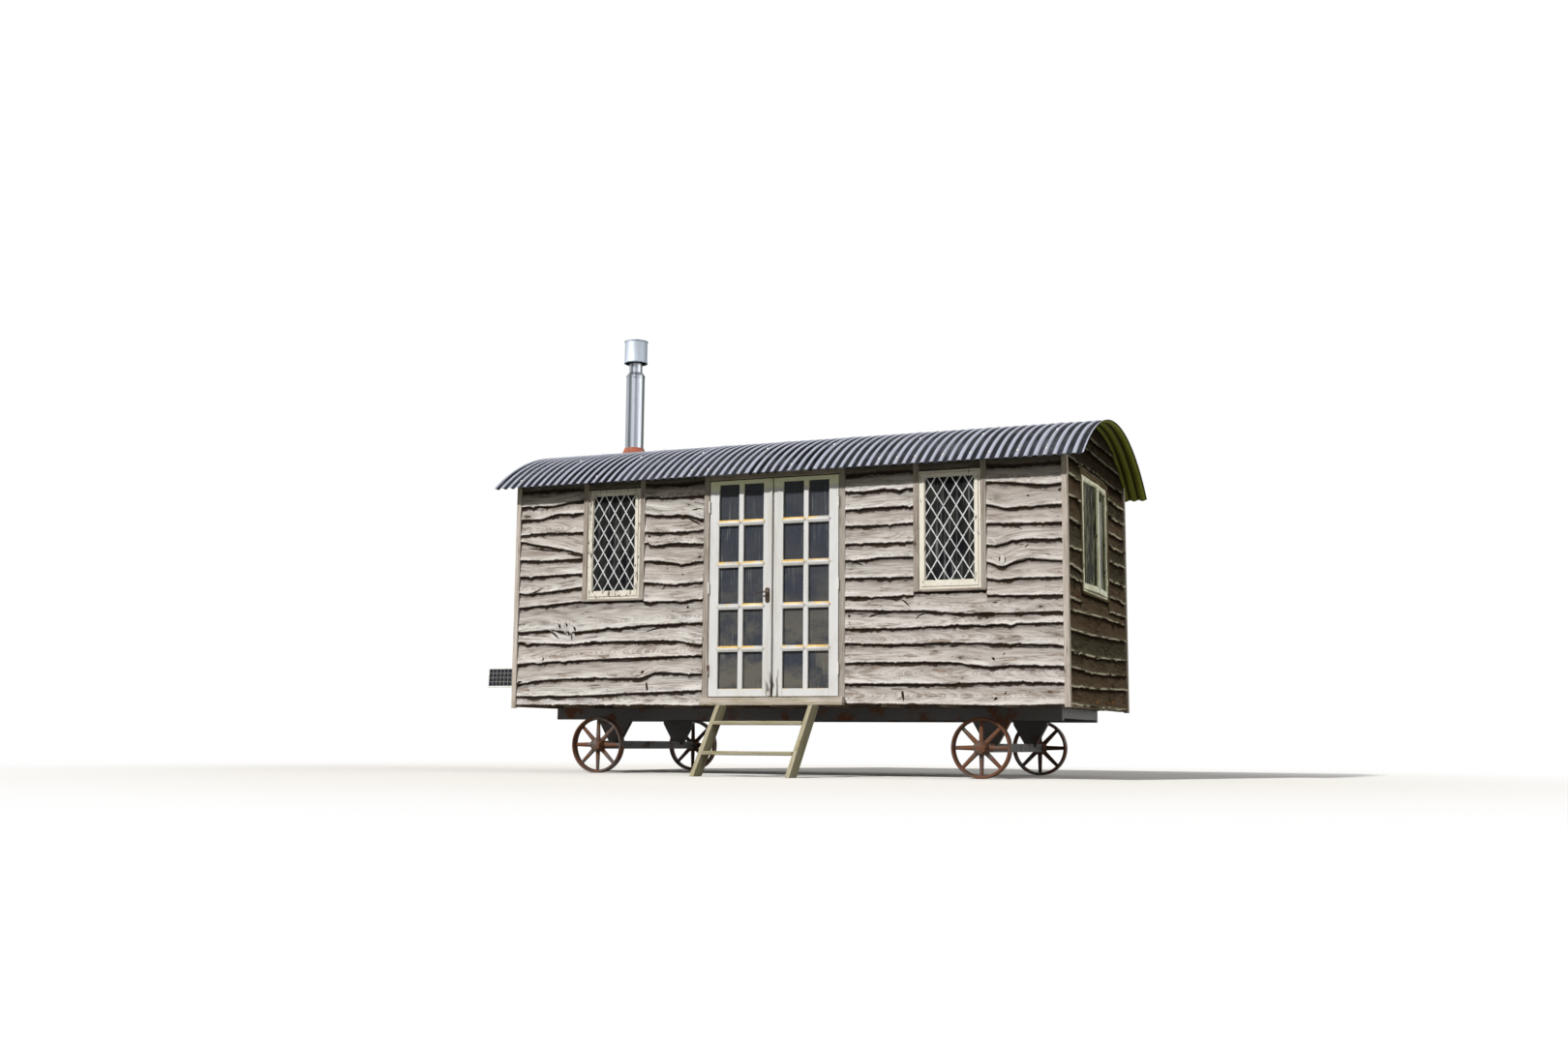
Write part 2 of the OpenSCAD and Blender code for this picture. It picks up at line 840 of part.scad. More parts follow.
module gable_window() {
    barrel_d = 14;
    barrel_l = 50;
    barrel_in = 135;
    color("#e2ddc4") placed() on_gable() union() {
        translate([0, leaf_inset, 0]) window_frame(gable_win_w);
        gable_leaves() {
            casement(gable_leaf_w, gable_leaf_h);
            for (z = [barrel_in, gable_leaf_h - barrel_in])
                translate([-2 * casement_gap, 2 * casement_gap, z])
                    cylinder(d = barrel_d, h = barrel_l, center = true);
        }
    }
}

module window_glass() {
    color("#20282a") placed() {
        for (x = win_x) translate([x + win_frame_w, leaf_inset - casement_proud, win_lo + win_frame_w])
            casement_glass(win_w - 2 * win_frame_w, win_h - 2 * win_frame_w);
        on_gable() gable_leaves() casement_glass(gable_leaf_w, gable_leaf_h);
    }
}

// Roof

module roof_deck() {
    color("#7c6f5d") placed() difference() {
        intersection() {
            arch(r_deck);
            block([clad_t, clad_t, arc_z], [body_l - clad_t, body_w - clad_t, arc_z + big]);
        }
        arch(r_ceiling);
        translate([flue_x, mid_w, arc_z]) cylinder(d = pipe_d + 2 * seat_gap, h = big);
    }
}

// Radius of the sheets' underside at distance s from the left edge, crest at s = 0
function wave_r(s) = r_under + wave_d / 2 * (1 + cos(360 * s / wave_p));

// A sheet lies on its left neighbour at the lap, and comes down to the deck within the next half wave
function lap_lift(s, first) = first ? 0 : (sheet_t + seat_gap) * max(0, min(1, 2 - 2 * s / wave_p));

// Curved corrugated sheet number k, its corrugations bent over the hut
module sheet(k) {
    s0 = k * sheet_waves * wave_p;
    n = min(sheet_waves, waves - k * sheet_waves);
    lap = wave_steps / 2;
    first = k == 0 ? 0 : -lap;
    last = k == sheet_n - 1 ? n * wave_steps : n * wave_steps + lap;
    steps = [for (i = [first : last]) i * wave_p / wave_steps];
    back = [for (i = [len(steps) - 1 : -1 : 0]) steps[i]];
    translate([s0 - over_left, mid_w, arc_z]) rotate([0, 90, 0]) rotate([0, 0, 180 - arc_a])
        rotate_extrude(angle = 2 * arc_a, $fn = arc_fn) polygon(concat(
            [for (s = steps) [wave_r(s) + lap_lift(s, k == 0), s]],
            [for (s = back) [wave_r(s) + lap_lift(s, k == 0) + sheet_t, s]]));
}

module sheets(k0, k1) {
    color("#3d444c") placed() for (k = [k0 : k1]) sheet(k);
}

module roof_sheets_left() {
    difference() {
        sheets(0, sheet_third - 1);
        placed() translate([flue_x, mid_w, arc_z]) cylinder(d = pipe_d + 2 * pipe_cut, h = big);
    }
}

module roof_sheets_middle() {
    sheets(sheet_third, 2 * sheet_third - 1);
}

module roof_sheets_right() {
    sheets(2 * sheet_third, sheet_n - 1);
}

// Flue

module flue_pipe() {
    shoulder = 16;
    color("#a7adb1") placed() translate([flue_x, mid_w, 0]) rotate_extrude()
        polygon([[liner_d / 2 - liner_t, pipe_foot], [pipe_d / 2, pipe_foot],
            [pipe_d / 2, pipe_top - shoulder], [liner_d / 2, pipe_top],
            [liner_d / 2, cowl_lo], [liner_d / 2 - liner_t, cowl_lo]]);
}

module flue_boot() {
    collar = 6;
    lip = 8;
    color("#b5482f") placed() difference() {
        translate([flue_x, mid_w, 0]) union() {
            translate([0, 0, crown_z - 2 * wave_d]) cylinder(d = boot_d, h = 2 * wave_d + lip);
            translate([0, 0, crown_z])
                cylinder(d1 = boot_d - 2 * lip, d2 = pipe_d + 2 * collar, h = boot_h);
        }
        translate([flue_x, mid_w, 0]) cylinder(d = pipe_d + 2 * seat_gap, h = big);
        arch(r_top + seat_gap);
    }
}

// Cowl: a can with rolled rims on a funnel that takes the neck
module flue_cowl() {
    rim = 5;
    bead = 8;
    neck_in = bead + rim;
    funnel = 24;
    sleeve = liner_d / 2 + seat_gap;
    r = cowl_d / 2;
    color("#9aa1a6") placed() translate([flue_x, mid_w, cowl_lo]) rotate_extrude()
        polygon([[sleeve, -funnel], [sleeve + rim, -funnel], [r - rim, 0], [r, 0],
            [r, bead], [r - rim, neck_in], [r - rim, cowl_h - neck_in], [r, cowl_h - bead],
            [r, cowl_h], [0, cowl_h + bead], [0, cowl_h - bead], [r - 2 * rim, cowl_h - bead],
            [r - 2 * rim, bead], [liner_d / 2, seat_gap], [sleeve, seat_gap]]);
}

// Steps

// Stringer as a sloping board, cut level at the ground and under the sill
module stringer(x) {
    reach = 700;
    ax = -tread_y;
    az = tread_top[0] - tread_t / 2;
    dy = stringer_half;
    run_up = (stringer_top - az) * step_run / step_rise;
    run_down = az * step_run / step_rise;
    translate([x, 0, 0]) rotate([90, 0, 90]) linear_extrude(height = stringer_t)
        intersection() {
            polygon([[ax + run_up - dy, stringer_top], [ax + run_up + dy, stringer_top],
                [ax - run_down + dy, 0], [ax - run_down - dy, 0]]);
            translate([-2 * reach - seat_gap, 0]) square([2 * reach, reach]);
        }
}

module step_stringers() {
    color("#8f8a80") placed() {
        stringer(door_mid - tread_l / 2 - stringer_t);
        stringer(door_mid + tread_l / 2);
    }
}

module step_treads() {
    color("#948f85") placed() for (i = [0 : tread_n - 1])
        block([door_mid - tread_l / 2 + seat_gap, tread_mid[i] - tread_d / 2, tread_top[i] - tread_t],
            [door_mid + tread_l / 2 - seat_gap, tread_mid[i] + tread_d / 2, tread_top[i]]);
}

// Solar panel

module solar_place() {
    translate([solar_cx, solar_y, solar_cz]) rotate([-solar_tilt, 0, 0]) children();
}

module solar_panel() {
    recess = 3;
    color("#1d2740") placed() solar_place() difference() {
        translate([-solar_w / 2, 0, -solar_h / 2]) cube([solar_w, solar_t, solar_h]);
        translate([-solar_w / 2 + solar_rim, -small, -solar_h / 2 + solar_rim])
            cube([solar_w - 2 * solar_rim, recess, solar_h - 2 * solar_rim]);
    }
}

// Batten on the boarding and the square bar that holds the panel
module solar_bracket() {
    seat = clad_t - board_low_t - seat_gap;
    plate_side = 90;
    plate_d = 20;
    bar_l = solar_gap + solar_w * 3 / 4 + seat - plate_d / 2;
    color("#8f9396") placed() union() {
        solar_place() translate([-solar_w / 4, solar_t + seat_gap, -bracket_t / 2])
            cube([bar_l, bracket_t, bracket_t]);
        translate([seat - plate_d, solar_y, solar_cz - plate_side])
            cube([plate_d, plate_side, 2 * plate_side]);
    }
}

chassis();
axles();
wheel_left_front();
wheel_left_back();
wheel_right_front();
wheel_right_back();
floor();
front_wall_left();
front_wall_right();
front_wall_over_door();
back_wall();
left_gable_wall();
right_gable_wall();
front_cladding_left();
front_cladding_right();
back_cladding();
left_cladding();
right_cladding();
corner_posts();
window_trim();
door_frame();
door_sill();
left_door();
left_door_glass();
right_door();
right_door_glass();
frame_hinges();
left_door_knuckles();
right_door_knuckles();
lever_plate();
door_lever();
left_window();
right_window();
gable_window();
window_glass();
roof_deck();
roof_sheets_left();
roof_sheets_middle();
roof_sheets_right();
flue_pipe();
flue_boot();
flue_cowl();
step_stringers();
step_treads();
solar_panel();
solar_bracket();
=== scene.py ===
# Shepherds hut on wheels, dressed round its CAD frame: waney boards, glazed doors, a curved tin roof and a flue.
# Metres, +Z up. +X runs along the hut to the gable with the window, and -Y is the door side.
import random
from math import asin, atan, ceil, cos, exp, pi, radians, sin, sqrt

import bmesh
import bpy
from mathutils import Matrix, Vector
from mathutils.bvhtree import BVHTree
from mathutils.noise import noise


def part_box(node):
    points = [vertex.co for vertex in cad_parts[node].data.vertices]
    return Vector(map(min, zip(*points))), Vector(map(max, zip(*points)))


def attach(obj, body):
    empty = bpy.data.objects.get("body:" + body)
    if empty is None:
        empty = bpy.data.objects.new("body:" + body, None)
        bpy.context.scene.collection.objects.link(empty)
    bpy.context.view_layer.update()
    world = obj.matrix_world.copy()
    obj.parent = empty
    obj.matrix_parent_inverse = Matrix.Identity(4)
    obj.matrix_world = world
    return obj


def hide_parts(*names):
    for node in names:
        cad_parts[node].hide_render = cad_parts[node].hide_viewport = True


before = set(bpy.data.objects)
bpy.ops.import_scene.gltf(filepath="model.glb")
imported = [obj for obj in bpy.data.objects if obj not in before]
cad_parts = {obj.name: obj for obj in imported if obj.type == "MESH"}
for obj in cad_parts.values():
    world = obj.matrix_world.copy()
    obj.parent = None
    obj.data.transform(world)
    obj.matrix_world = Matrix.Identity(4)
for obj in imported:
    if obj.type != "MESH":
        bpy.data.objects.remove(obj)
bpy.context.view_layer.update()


# Undercarriage: two steel rails with cross members on two square axle beams, welded and bolted together.
# The steel has worn black paint with rust coming through, and its nodes keep their CAD shape.
hut_l, hut_w = 4.950, 2.290
ground = -0.560
hut_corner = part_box("left_cladding")[0] - Vector((0.004, 0.0453, 0))
chassis_black = (0.028, 0.027, 0.026)
rust_light, rust_dark = (0.19, 0.075, 0.032), (0.07, 0.028, 0.016)


class Value:
    """The first output of a node. [name] is another of its outputs, and + - * / and abs make maths nodes."""

    def __init__(self, socket):
        self.socket, self.node, self.tree = socket, socket.node, socket.id_data

    def __getitem__(self, key):
        return Value(self.node.outputs[key])

    def __add__(self, other):
        return maths("ADD", self, other)

    def __sub__(self, other):
        return maths("SUBTRACT", self, other)

    def __rsub__(self, other):
        return maths("SUBTRACT", other, self)

    def __mul__(self, other):
        return maths("MULTIPLY", self, other)

    def __truediv__(self, other):
        return maths("DIVIDE", self, other)

    def __abs__(self):
        return maths("ABSOLUTE", self)


def feed(entry, value):
    """Links an input to a node's output, or sets it; a plain colour is (red, green, blue)."""
    if isinstance(value, Value):
        entry.id_data.links.new(value.socket, entry)
    else:
        entry.default_value = (*value, 1) if entry.type == "RGBA" else value


def node(tree, kind, entries=None, **settings):
    """Adds one node with its settings, and feeds the inputs that are given."""
    made = tree.nodes.new(kind)
    for setting, value in settings.items():
        setattr(made, setting, value)
    for key, value in (entries or {}).items():
        feed(made.inputs[key], value)
    return Value(made.outputs[0])


def maths(operation, a, b=0.0):
    tree = (a if isinstance(a, Value) else b).tree
    return node(tree, "ShaderNodeMath", {0: a, 1: b}, operation=operation)


def apart_of(vector):
    """The X, Y and Z of a vector, as [0], [1] and [2]."""
    return node(vector.tree, "ShaderNodeSeparateXYZ", {0: vector})


def faded(value, low, high, start=0.0, end=1.0):
    """Start below low, end above high, and smooth between them."""
    reach = {"Value": value, "From Min": low, "From Max": high, "To Min": start, "To Max": end}
    return node(value.tree, "ShaderNodeMapRange", reach, interpolation_type="SMOOTHSTEP")


def mixed(share, a, b):
    return node(share.tree, "ShaderNodeMix", {0: share, 6: a, 7: b}, data_type="RGBA")[2]


def stretched(place, per_metre):
    return node(place.tree, "ShaderNodeVectorMath", {0: place, 1: per_metre}, operation="MULTIPLY")


def mottle(place, per_metre, detail=4.0, roughness=0.5):
    """Cloudy noise, 0 to 1, with that many blotches to the metre: one number, or one for each axis."""
    scales = (per_metre,) * 3 if isinstance(per_metre, (int, float)) else per_metre
    sockets = {"Vector": stretched(place, scales), "Scale": 1.0, "Detail": detail, "Roughness": roughness}
    return node(place.tree, "ShaderNodeTexNoise", sockets)


def new_finish(name):
    finish = bpy.data.materials.new(name)
    finish.use_nodes = True
    return finish, finish.node_tree, finish.node_tree.nodes["Principled BSDF"]


def surface(shader, colour, roughness, height, relief, others=None):
    """Feeds a shader its colour, its roughness, a relief of that depth in metres, and other inputs by their names."""
    bump = node(height.tree, "ShaderNodeBump", {"Height": height, "Distance": relief, "Strength": 1.0})
    for label, value in {"Base Color": colour, "Roughness": roughness, "Normal": bump, **(others or {})}.items():
        feed(shader.inputs[label], value)


def object_place(tree):
    return node(tree, "ShaderNodeTexCoord")["Object"]


def rusting_metal(name, paint, rust_from, metallic=0.0):
    """Painted or cast metal with rust in patches; rust_from 0.4 is mostly rust and 0.7 is little."""
    finish, tree, shader = new_finish(name)
    place = object_place(tree)
    patches = mottle(place, 6, 8, 0.68)
    grit = mottle(place, 170, 3)
    rust = faded(patches + grit * 0.16, rust_from, rust_from + 0.12)
    bare = mixed(faded(grit, 0.3, 0.7), paint, tuple(1.7 * c for c in paint))
    colour = mixed(rust, bare, mixed(grit, rust_light, rust_dark))
    surface(shader, colour, faded(rust, 0, 1, 0.5, 0.9), grit + rust, 0.0012, {"Metallic": metallic})
    return finish


def clouded(name, cloud_of, turn, fresh, aged, rough, relief, others=None):
    """A plain finish that ages in soft patches. cloud_of says what cloud mottle makes, and turn and rough how faded
    turns it into the share of the aged colour and into the roughness."""
    finish, tree, shader = new_finish(name)
    cloud = mottle(object_place(tree), *cloud_of)
    surface(shader, mixed(faded(cloud, *turn), fresh, aged), faded(cloud, *rough), cloud, relief, others)
    return finish


def dress(node_name, finish):
    """Gives a CAD node, which keeps its shape, its finish."""
    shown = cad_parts[node_name]
    shown.data.materials.clear()
    shown.data.materials.append(finish)


chassis_steel = rusting_metal("chassis_steel", chassis_black, 0.60)
dress("chassis", chassis_steel)
dress("axles", chassis_steel)


# Wheels: four cast iron wheels with a flanged tread, eight oval spokes and a bolted hub cap, free on their journals.
# Bare iron, brown and pitted. The spokes and the cap's bolts are one shape set round the hub by geometry nodes.
wheel_r, tread_w, rim_t = 0.240, 0.080, 0.016
hub_r, hub_l, spoke_n = 0.060, 0.120, 8
wheel_inset, axle_from_end = 0.150, 0.760
iron_brown = (0.050, 0.034, 0.026)


def placed(name, data):
    """Puts a new object into the scene."""
    made = bpy.data.objects.new(name, data)
    bpy.context.scene.collection.objects.link(made)
    return made


def new_tree(name, sizes):
    """A geometry tree with a named input for each size and for its finish; returns it with its inputs."""
    tree = bpy.data.node_groups.new(name, "GeometryNodeTree")
    tree.interface.new_socket("Geometry", in_out="INPUT", socket_type="NodeSocketGeometry")
    for label, kind in (*sizes.items(), ("Finish", "Material")):
        tree.interface.new_socket(label, in_out="INPUT", socket_type="NodeSocket" + kind)
    tree.interface.new_socket("Geometry", in_out="OUTPUT", socket_type="NodeSocketGeometry")
    return tree, Value(tree.nodes.new("NodeGroupInput").outputs[0])


def coated(given, form):
    """Ends a geometry tree: what it has made becomes real and gets its finish."""
    real = node(given.tree, "GeometryNodeRealizeInstances", {0: form})
    coat = node(given.tree, "GeometryNodeSetMaterial", {0: real, "Material": given["Finish"]})
    feed(given.tree.nodes.new("NodeGroupOutput").inputs[0], coat)
    return given.tree


def grown(tree, start, sizes):
    """Runs a geometry tree on the mesh start and returns the plain mesh that it makes."""
    holder = placed("holder", start)
    modifier = holder.modifiers.new("grow", "NODES")
    modifier.node_group = tree
    names = {item.name: item.identifier for item in tree.interface.items_tree if item.in_out == "INPUT"}
    for label, value in sizes.items():
        modifier[names[label]] = value
    made = bpy.data.meshes.new_from_object(holder.evaluated_get(bpy.context.evaluated_depsgraph_get()))
    holder.modifiers.remove(modifier)
    bpy.data.objects.remove(holder)
    return made


def ring_tree():
    """Sets the shape that comes in, which points along +X, round the Z axis."""
    tree, given = new_tree("set_round_an_axis", {"Count": "Int", "Radius": "Float"})
    circle = node(tree, "GeometryNodeMeshCircle", {"Vertices": given["Count"], "Radius": given["Radius"]})
    apart = apart_of(node(tree, "GeometryNodeInputPosition"))
    turned_by = node(tree, "ShaderNodeCombineXYZ", {2: maths("ARCTAN2", apart[1], apart[0])})
    copies = {"Points": circle, "Instance": given["Geometry"], "Rotation": turned_by}
    return coated(given, node(tree, "GeometryNodeInstanceOnPoints", copies))


def turned(form, profile, steps=72, closed=False):
    """Turns a profile of (radius, height) about Z into the bmesh form; a radius of 0 closes at a pole."""
    rings = []
    for radius, height in profile:
        count = steps if radius > 1e-6 else 1
        turns = [2 * pi * i / steps for i in range(count)]
        rings.append([form.verts.new((radius * cos(t), radius * sin(t), height)) for t in turns])
    for ring, following in zip(rings, rings[1:] + ([rings[0]] if closed else [])):
        for i in range(steps if len(ring) + len(following) > 2 else 0):
            corners = [ring[i % len(ring)], ring[(i + 1) % len(ring)],
                       following[(i + 1) % len(following)], following[i % len(following)]]
            form.faces.new(list(dict.fromkeys(corners)))


def lofted(form, rings, closed=False):
    """Skins rings of points, all of one count, and shuts both ends, or else joins the last ring to the first; returns
    the new vertices."""
    loops = [[form.verts.new(point) for point in ring] for ring in rings]
    for loop, following in zip(loops, loops[1:] + (loops[:1] if closed else [])):
        for i in range(len(loop)):
            j = (i + 1) % len(loop)
            form.faces.new((loop[i], loop[j], following[j], following[i]))
    for end in () if closed else (loops[0], loops[-1]):
        form.faces.new(end)
    return [vertex for loop in loops for vertex in loop]


def moved(form, *moves):
    for move in moves:
        bmesh.ops.transform(form, matrix=move, verts=form.verts)


def turn_about(axis, degrees):
    return Matrix.Rotation(radians(degrees), 4, axis)


def joined(form, shape, *moves):
    """Moves a shape by each matrix in turn, adds it to form and frees it."""
    moved(shape, *moves)
    mesh = bpy.data.meshes.new("joined")
    shape.to_mesh(mesh)
    shape.free()
    form.from_mesh(mesh)
    bpy.data.meshes.remove(mesh)


def ellipse(middle, wide, deep, steps=14):
    """Ring of points round the X axis."""
    turns = [2 * pi * i / steps for i in range(steps)]
    return [(middle, wide * cos(t), deep * sin(t)) for t in turns]


def piece(name, form, finish, stands_for=(), smooth=30, closed=True, body="root"):
    """Turns a bmesh in hut coordinates into a named piece that rides on a CAD body."""
    if closed:
        bmesh.ops.recalc_face_normals(form, faces=form.faces)
    moved(form, Matrix.Translation(hut_corner))
    for face in form.faces:
        face.material_index = 0
    mesh = bpy.data.meshes.new(name)
    form.to_mesh(mesh)
    form.free()
    for coat in finish if isinstance(finish, (list, tuple)) else [finish]:
        mesh.materials.append(coat)
    mesh.shade_smooth()
    mesh.set_sharp_from_angle(angle=radians(smooth))
    made = placed(name, mesh)
    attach(made, body)
    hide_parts(*stands_for)
    return made


cast_iron = rusting_metal("cast_iron", iron_brown, 0.50)
set_round = ring_tree()


def wheel_form():
    """One wheel round the Y axis at the origin, with its outer face to -Y."""
    half, face, inner_r = tread_w / 2, hub_l / 2, wheel_r - rim_t
    tread = [(inner_r, -half + 0.004), (inner_r + 0.004, -half), (wheel_r - 0.004, -half), (wheel_r, -half + 0.005),
             (wheel_r, half - 0.005), (wheel_r - 0.004, half), (inner_r + 0.004, half), (inner_r, half - 0.004),
             (inner_r - 0.010, 0.012), (inner_r - 0.010, -0.012)]
    hub = [(0, -face - 0.004), (0.020, -face - 0.004), (0.030, -face), (0.046, -face + 0.002), (0.050, -face + 0.008),
           (0.052, -0.040), (hub_r, -0.030), (hub_r, 0.030), (0.050, 0.042), (0.046, face - 0.002), (0.042, face),
           (0, face)]
    form = bmesh.new()
    turned(form, tread, 96, closed=True)
    turned(form, hub, 48)
    one = bmesh.new()
    reach = inner_r - hub_r
    lofted(one, [ellipse(hub_r - 0.012 + reach * s + 0.016 * s, 0.021 - 0.006 * s, 0.013 - 0.003 * s)
                 for s in (0, 0.05, 0.2, 0.5, 0.8, 0.94, 1)])
    bolt = bmesh.new()
    turned(bolt, [(0, -face - 0.006), (0.005, -face - 0.006), (0.006, -face - 0.004), (0.006, -face + 0.004),
                  (0, -face + 0.004)], 6)
    moved(bolt, Matrix.Translation((0.038, 0, 0)))
    for shape, count in ((one, spoke_n), (bolt, 6)):
        bmesh.ops.recalc_face_normals(shape, faces=shape.faces)
        start = bpy.data.meshes.new("start")
        shape.to_mesh(start)
        shape.free()
        form.from_mesh(grown(set_round, start, {"Count": count, "Radius": 1e-5, "Finish": cast_iron}))
    moved(form, turn_about("X", -90))
    return form


for end, along in (("left", axle_from_end), ("right", hut_l - axle_from_end)):
    for side, across, turn in (("front", wheel_inset + hub_l / 2, 0), ("back", hut_w - wheel_inset - hub_l / 2, 180)):
        form = wheel_form()
        moved(form, turn_about("Z", turn), Matrix.Translation((along, across, ground + wheel_r)))
        piece(f"{end}_{side}_spoked_wheel", form, cast_iron, [f"wheel_{end}_{side}"], 35)


# Floor, wall frames and roof deck: softwood joists and boards, lined inside with narrow painted matchboards.
# They keep their CAD shape. The joints between the boards are in the finish, cut in with the bump.
lining_paint, lining_joint = (0.50, 0.47, 0.39), (0.10, 0.085, 0.06)
floor_pale, floor_brown = (0.33, 0.235, 0.145), (0.19, 0.125, 0.075)
lining_board_w, floor_board_w = 0.095, 0.130


def boarded(name, across, board_w, pale, brown, joint):
    """Flat boards side by side along one axis of the object (0 is X, 1 is Y, 2 is Z), with dark V joints."""
    finish, tree, shader = new_finish(name)
    place = object_place(tree)
    apart = apart_of(place)
    boards = apart[across] / board_w
    to_joint = abs(maths("FRACT", boards) - 0.5)
    groove = faded(to_joint, 0.46, 0.485)
    each = node(tree, "ShaderNodeTexWhiteNoise", {"W": maths("FLOOR", boards)}, noise_dimensions="1D")
    per_metre = [1.5, 1.5, 1.5]
    per_metre[across] = 90
    grain = mottle(place, per_metre, 5, 0.6)
    board = mixed(faded(grain, 0.35, 0.7), pale, brown)
    board = mixed(each * 0.35, board, brown)
    dust = mottle(place, 3, 5)
    colour = mixed(groove, mixed(faded(dust, 0.5, 0.8, 0, 0.35), board, joint), joint)
    height = grain * 0.2 - groove
    surface(shader, colour, faded(grain, 0, 1, 0.55, 0.75), height, 0.003)
    return finish


long_lining = boarded("long_lining", 0, lining_board_w, lining_paint, floor_pale, lining_joint)
gable_lining = boarded("gable_lining", 1, lining_board_w, lining_paint, floor_pale, lining_joint)
floor_boards = boarded("floor_boards", 1, floor_board_w, floor_pale, floor_brown, lining_joint)
for wall in ("front_wall_left", "front_wall_right", "back_wall"):
    dress(wall, long_lining)
for wall in ("left_gable_wall", "right_gable_wall", "roof_deck"):
    dress(wall, gable_lining)
dress("floor", floor_boards)


# Waney boards: lapped sawn boards that keep the natural edge of the log along their lower side, nailed to the studs.
# Unpainted timber gone silver, with dark grain, checks and knots. One piece to a wall.
clad_t, post_w = 0.030, 0.045
face_top, face_low = 0.005, 0.0255
board_t, board_lap = 0.018, 0.032
nail_up, nail_in, nail_r, nail_h, stud_pitch = 0.048, 0.035, 0.0045, 0.0016, 0.45
split_proud, seed_step = 0.001, 1.37
open_sky, ridge_lap, eave_shade_heights = 9.0, 2.5, (2.38, 2.46)
deck_t, seat_gap = 0.060, 0.0003
eave_z, crown_z, wave_d, sheet_t = 1.905, 2.380, 0.018, 0.002
roof_mid, eave_half = hut_w / 2, hut_w / 2 + 0.146
valley_drop = crown_z - wave_d - sheet_t - eave_z
valley_r = (eave_half ** 2 + valley_drop ** 2) / (2 * valley_drop)
roof_z = crown_z - wave_d - sheet_t - valley_r
long_top = roof_z + sqrt(valley_r ** 2 - roof_mid ** 2) - 0.004
silver, ash, umber = (0.695, 0.677, 0.652), (0.230, 0.202, 0.178), (0.032, 0.021, 0.014)
bark, tan_stain = (0.034, 0.021, 0.012), (0.33, 0.155, 0.055)

# Lower edges measured along the front, as (along, height) points, from the eave down
left_of_window = [
    [(0.04, 1.895), (0.35, 1.906), (0.66, 1.898)], [(0.04, 1.762), (0.37, 1.754), (0.66, 1.800)],
    [(0.04, 1.646), (0.25, 1.644), (0.41, 1.683), (0.66, 1.679)], [(0.05, 1.506), (0.29, 1.519), (0.66, 1.511)],
    [(0.05, 1.452), (0.26, 1.406), (0.47, 1.374), (0.66, 1.321)], [(0.05, 1.283), (0.35, 1.272), (0.66, 1.284)],
    [(0.04, 1.137), (0.39, 1.141), (0.66, 1.147)], [(0.05, 0.991), (0.20, 0.984), (0.43, 1.004), (0.67, 1.031)],
    [(0.04, 0.862), (0.36, 0.884), (0.67, 0.906)]]
window_to_door = [
    [(1.28, 1.902), (1.55, 1.893), (1.83, 1.900)], [(1.28, 1.789), (1.49, 1.773), (1.83, 1.778)],
    [(1.28, 1.642), (1.50, 1.616), (1.69, 1.615), (1.83, 1.571)], [(1.28, 1.484), (1.56, 1.472), (1.83, 1.475)],
    [(1.28, 1.395), (1.37, 1.362), (1.57, 1.383), (1.83, 1.362)],
    [(1.29, 1.238), (1.49, 1.224), (1.65, 1.196), (1.83, 1.219)], [(1.28, 1.053), (1.57, 1.022), (1.83, 1.043)],
    [(1.28, 0.890), (1.58, 0.883), (1.83, 0.898)]]
left_low = [
    [(0.06, 0.648), (0.37, 0.662), (0.61, 0.638), (0.92, 0.662), (1.25, 0.685), (1.82, 0.695)],
    [(0.06, 0.557), (0.58, 0.534), (0.82, 0.552), (1.25, 0.552), (1.58, 0.554), (1.82, 0.514)],
    [(0.04, 0.368), (0.29, 0.383), (0.58, 0.392), (1.09, 0.408), (1.83, 0.423)],
    [(0.07, 0.194), (0.24, 0.223), (0.62, 0.242), (1.26, 0.237), (1.42, 0.287), (1.83, 0.269)],
    [(0.05, 0.089), (0.59, 0.087), (1.10, 0.107), (1.83, 0.132)],
    [(0.06, 0.014), (0.76, 0.013), (1.35, 0.012), (1.83, 0.004)]]
door_to_window = [
    [(3.11, 1.880), (3.40, 1.889), (3.69, 1.884)], [(3.11, 1.742), (3.26, 1.729), (3.43, 1.741), (3.69, 1.738)],
    [(3.11, 1.587), (3.40, 1.597), (3.69, 1.591)], [(3.12, 1.454), (3.40, 1.450), (3.69, 1.458)],
    [(3.12, 1.308), (3.69, 1.304)], [(3.12, 1.174), (3.27, 1.173), (3.40, 1.188), (3.69, 1.185)],
    [(3.12, 1.029), (3.69, 1.022)], [(3.12, 0.877), (3.40, 0.869), (3.69, 0.874)]]
right_of_window = [
    [(4.31, 1.892), (4.60, 1.881), (4.91, 1.886)], [(4.31, 1.757), (4.50, 1.739), (4.78, 1.708), (4.91, 1.716)],
    [(4.31, 1.577), (4.46, 1.537), (4.62, 1.545), (4.91, 1.550)], [(4.31, 1.423), (4.60, 1.414), (4.91, 1.408)],
    [(4.30, 1.256), (4.38, 1.245), (4.49, 1.272), (4.62, 1.290), (4.91, 1.278)],
    [(4.30, 1.124), (4.43, 1.076), (4.52, 1.116), (4.65, 1.134), (4.90, 1.110)],
    [(4.30, 0.992), (4.41, 0.973), (4.49, 0.986), (4.90, 0.983)], [(4.30, 0.860), (4.65, 0.847), (4.90, 0.846)]]
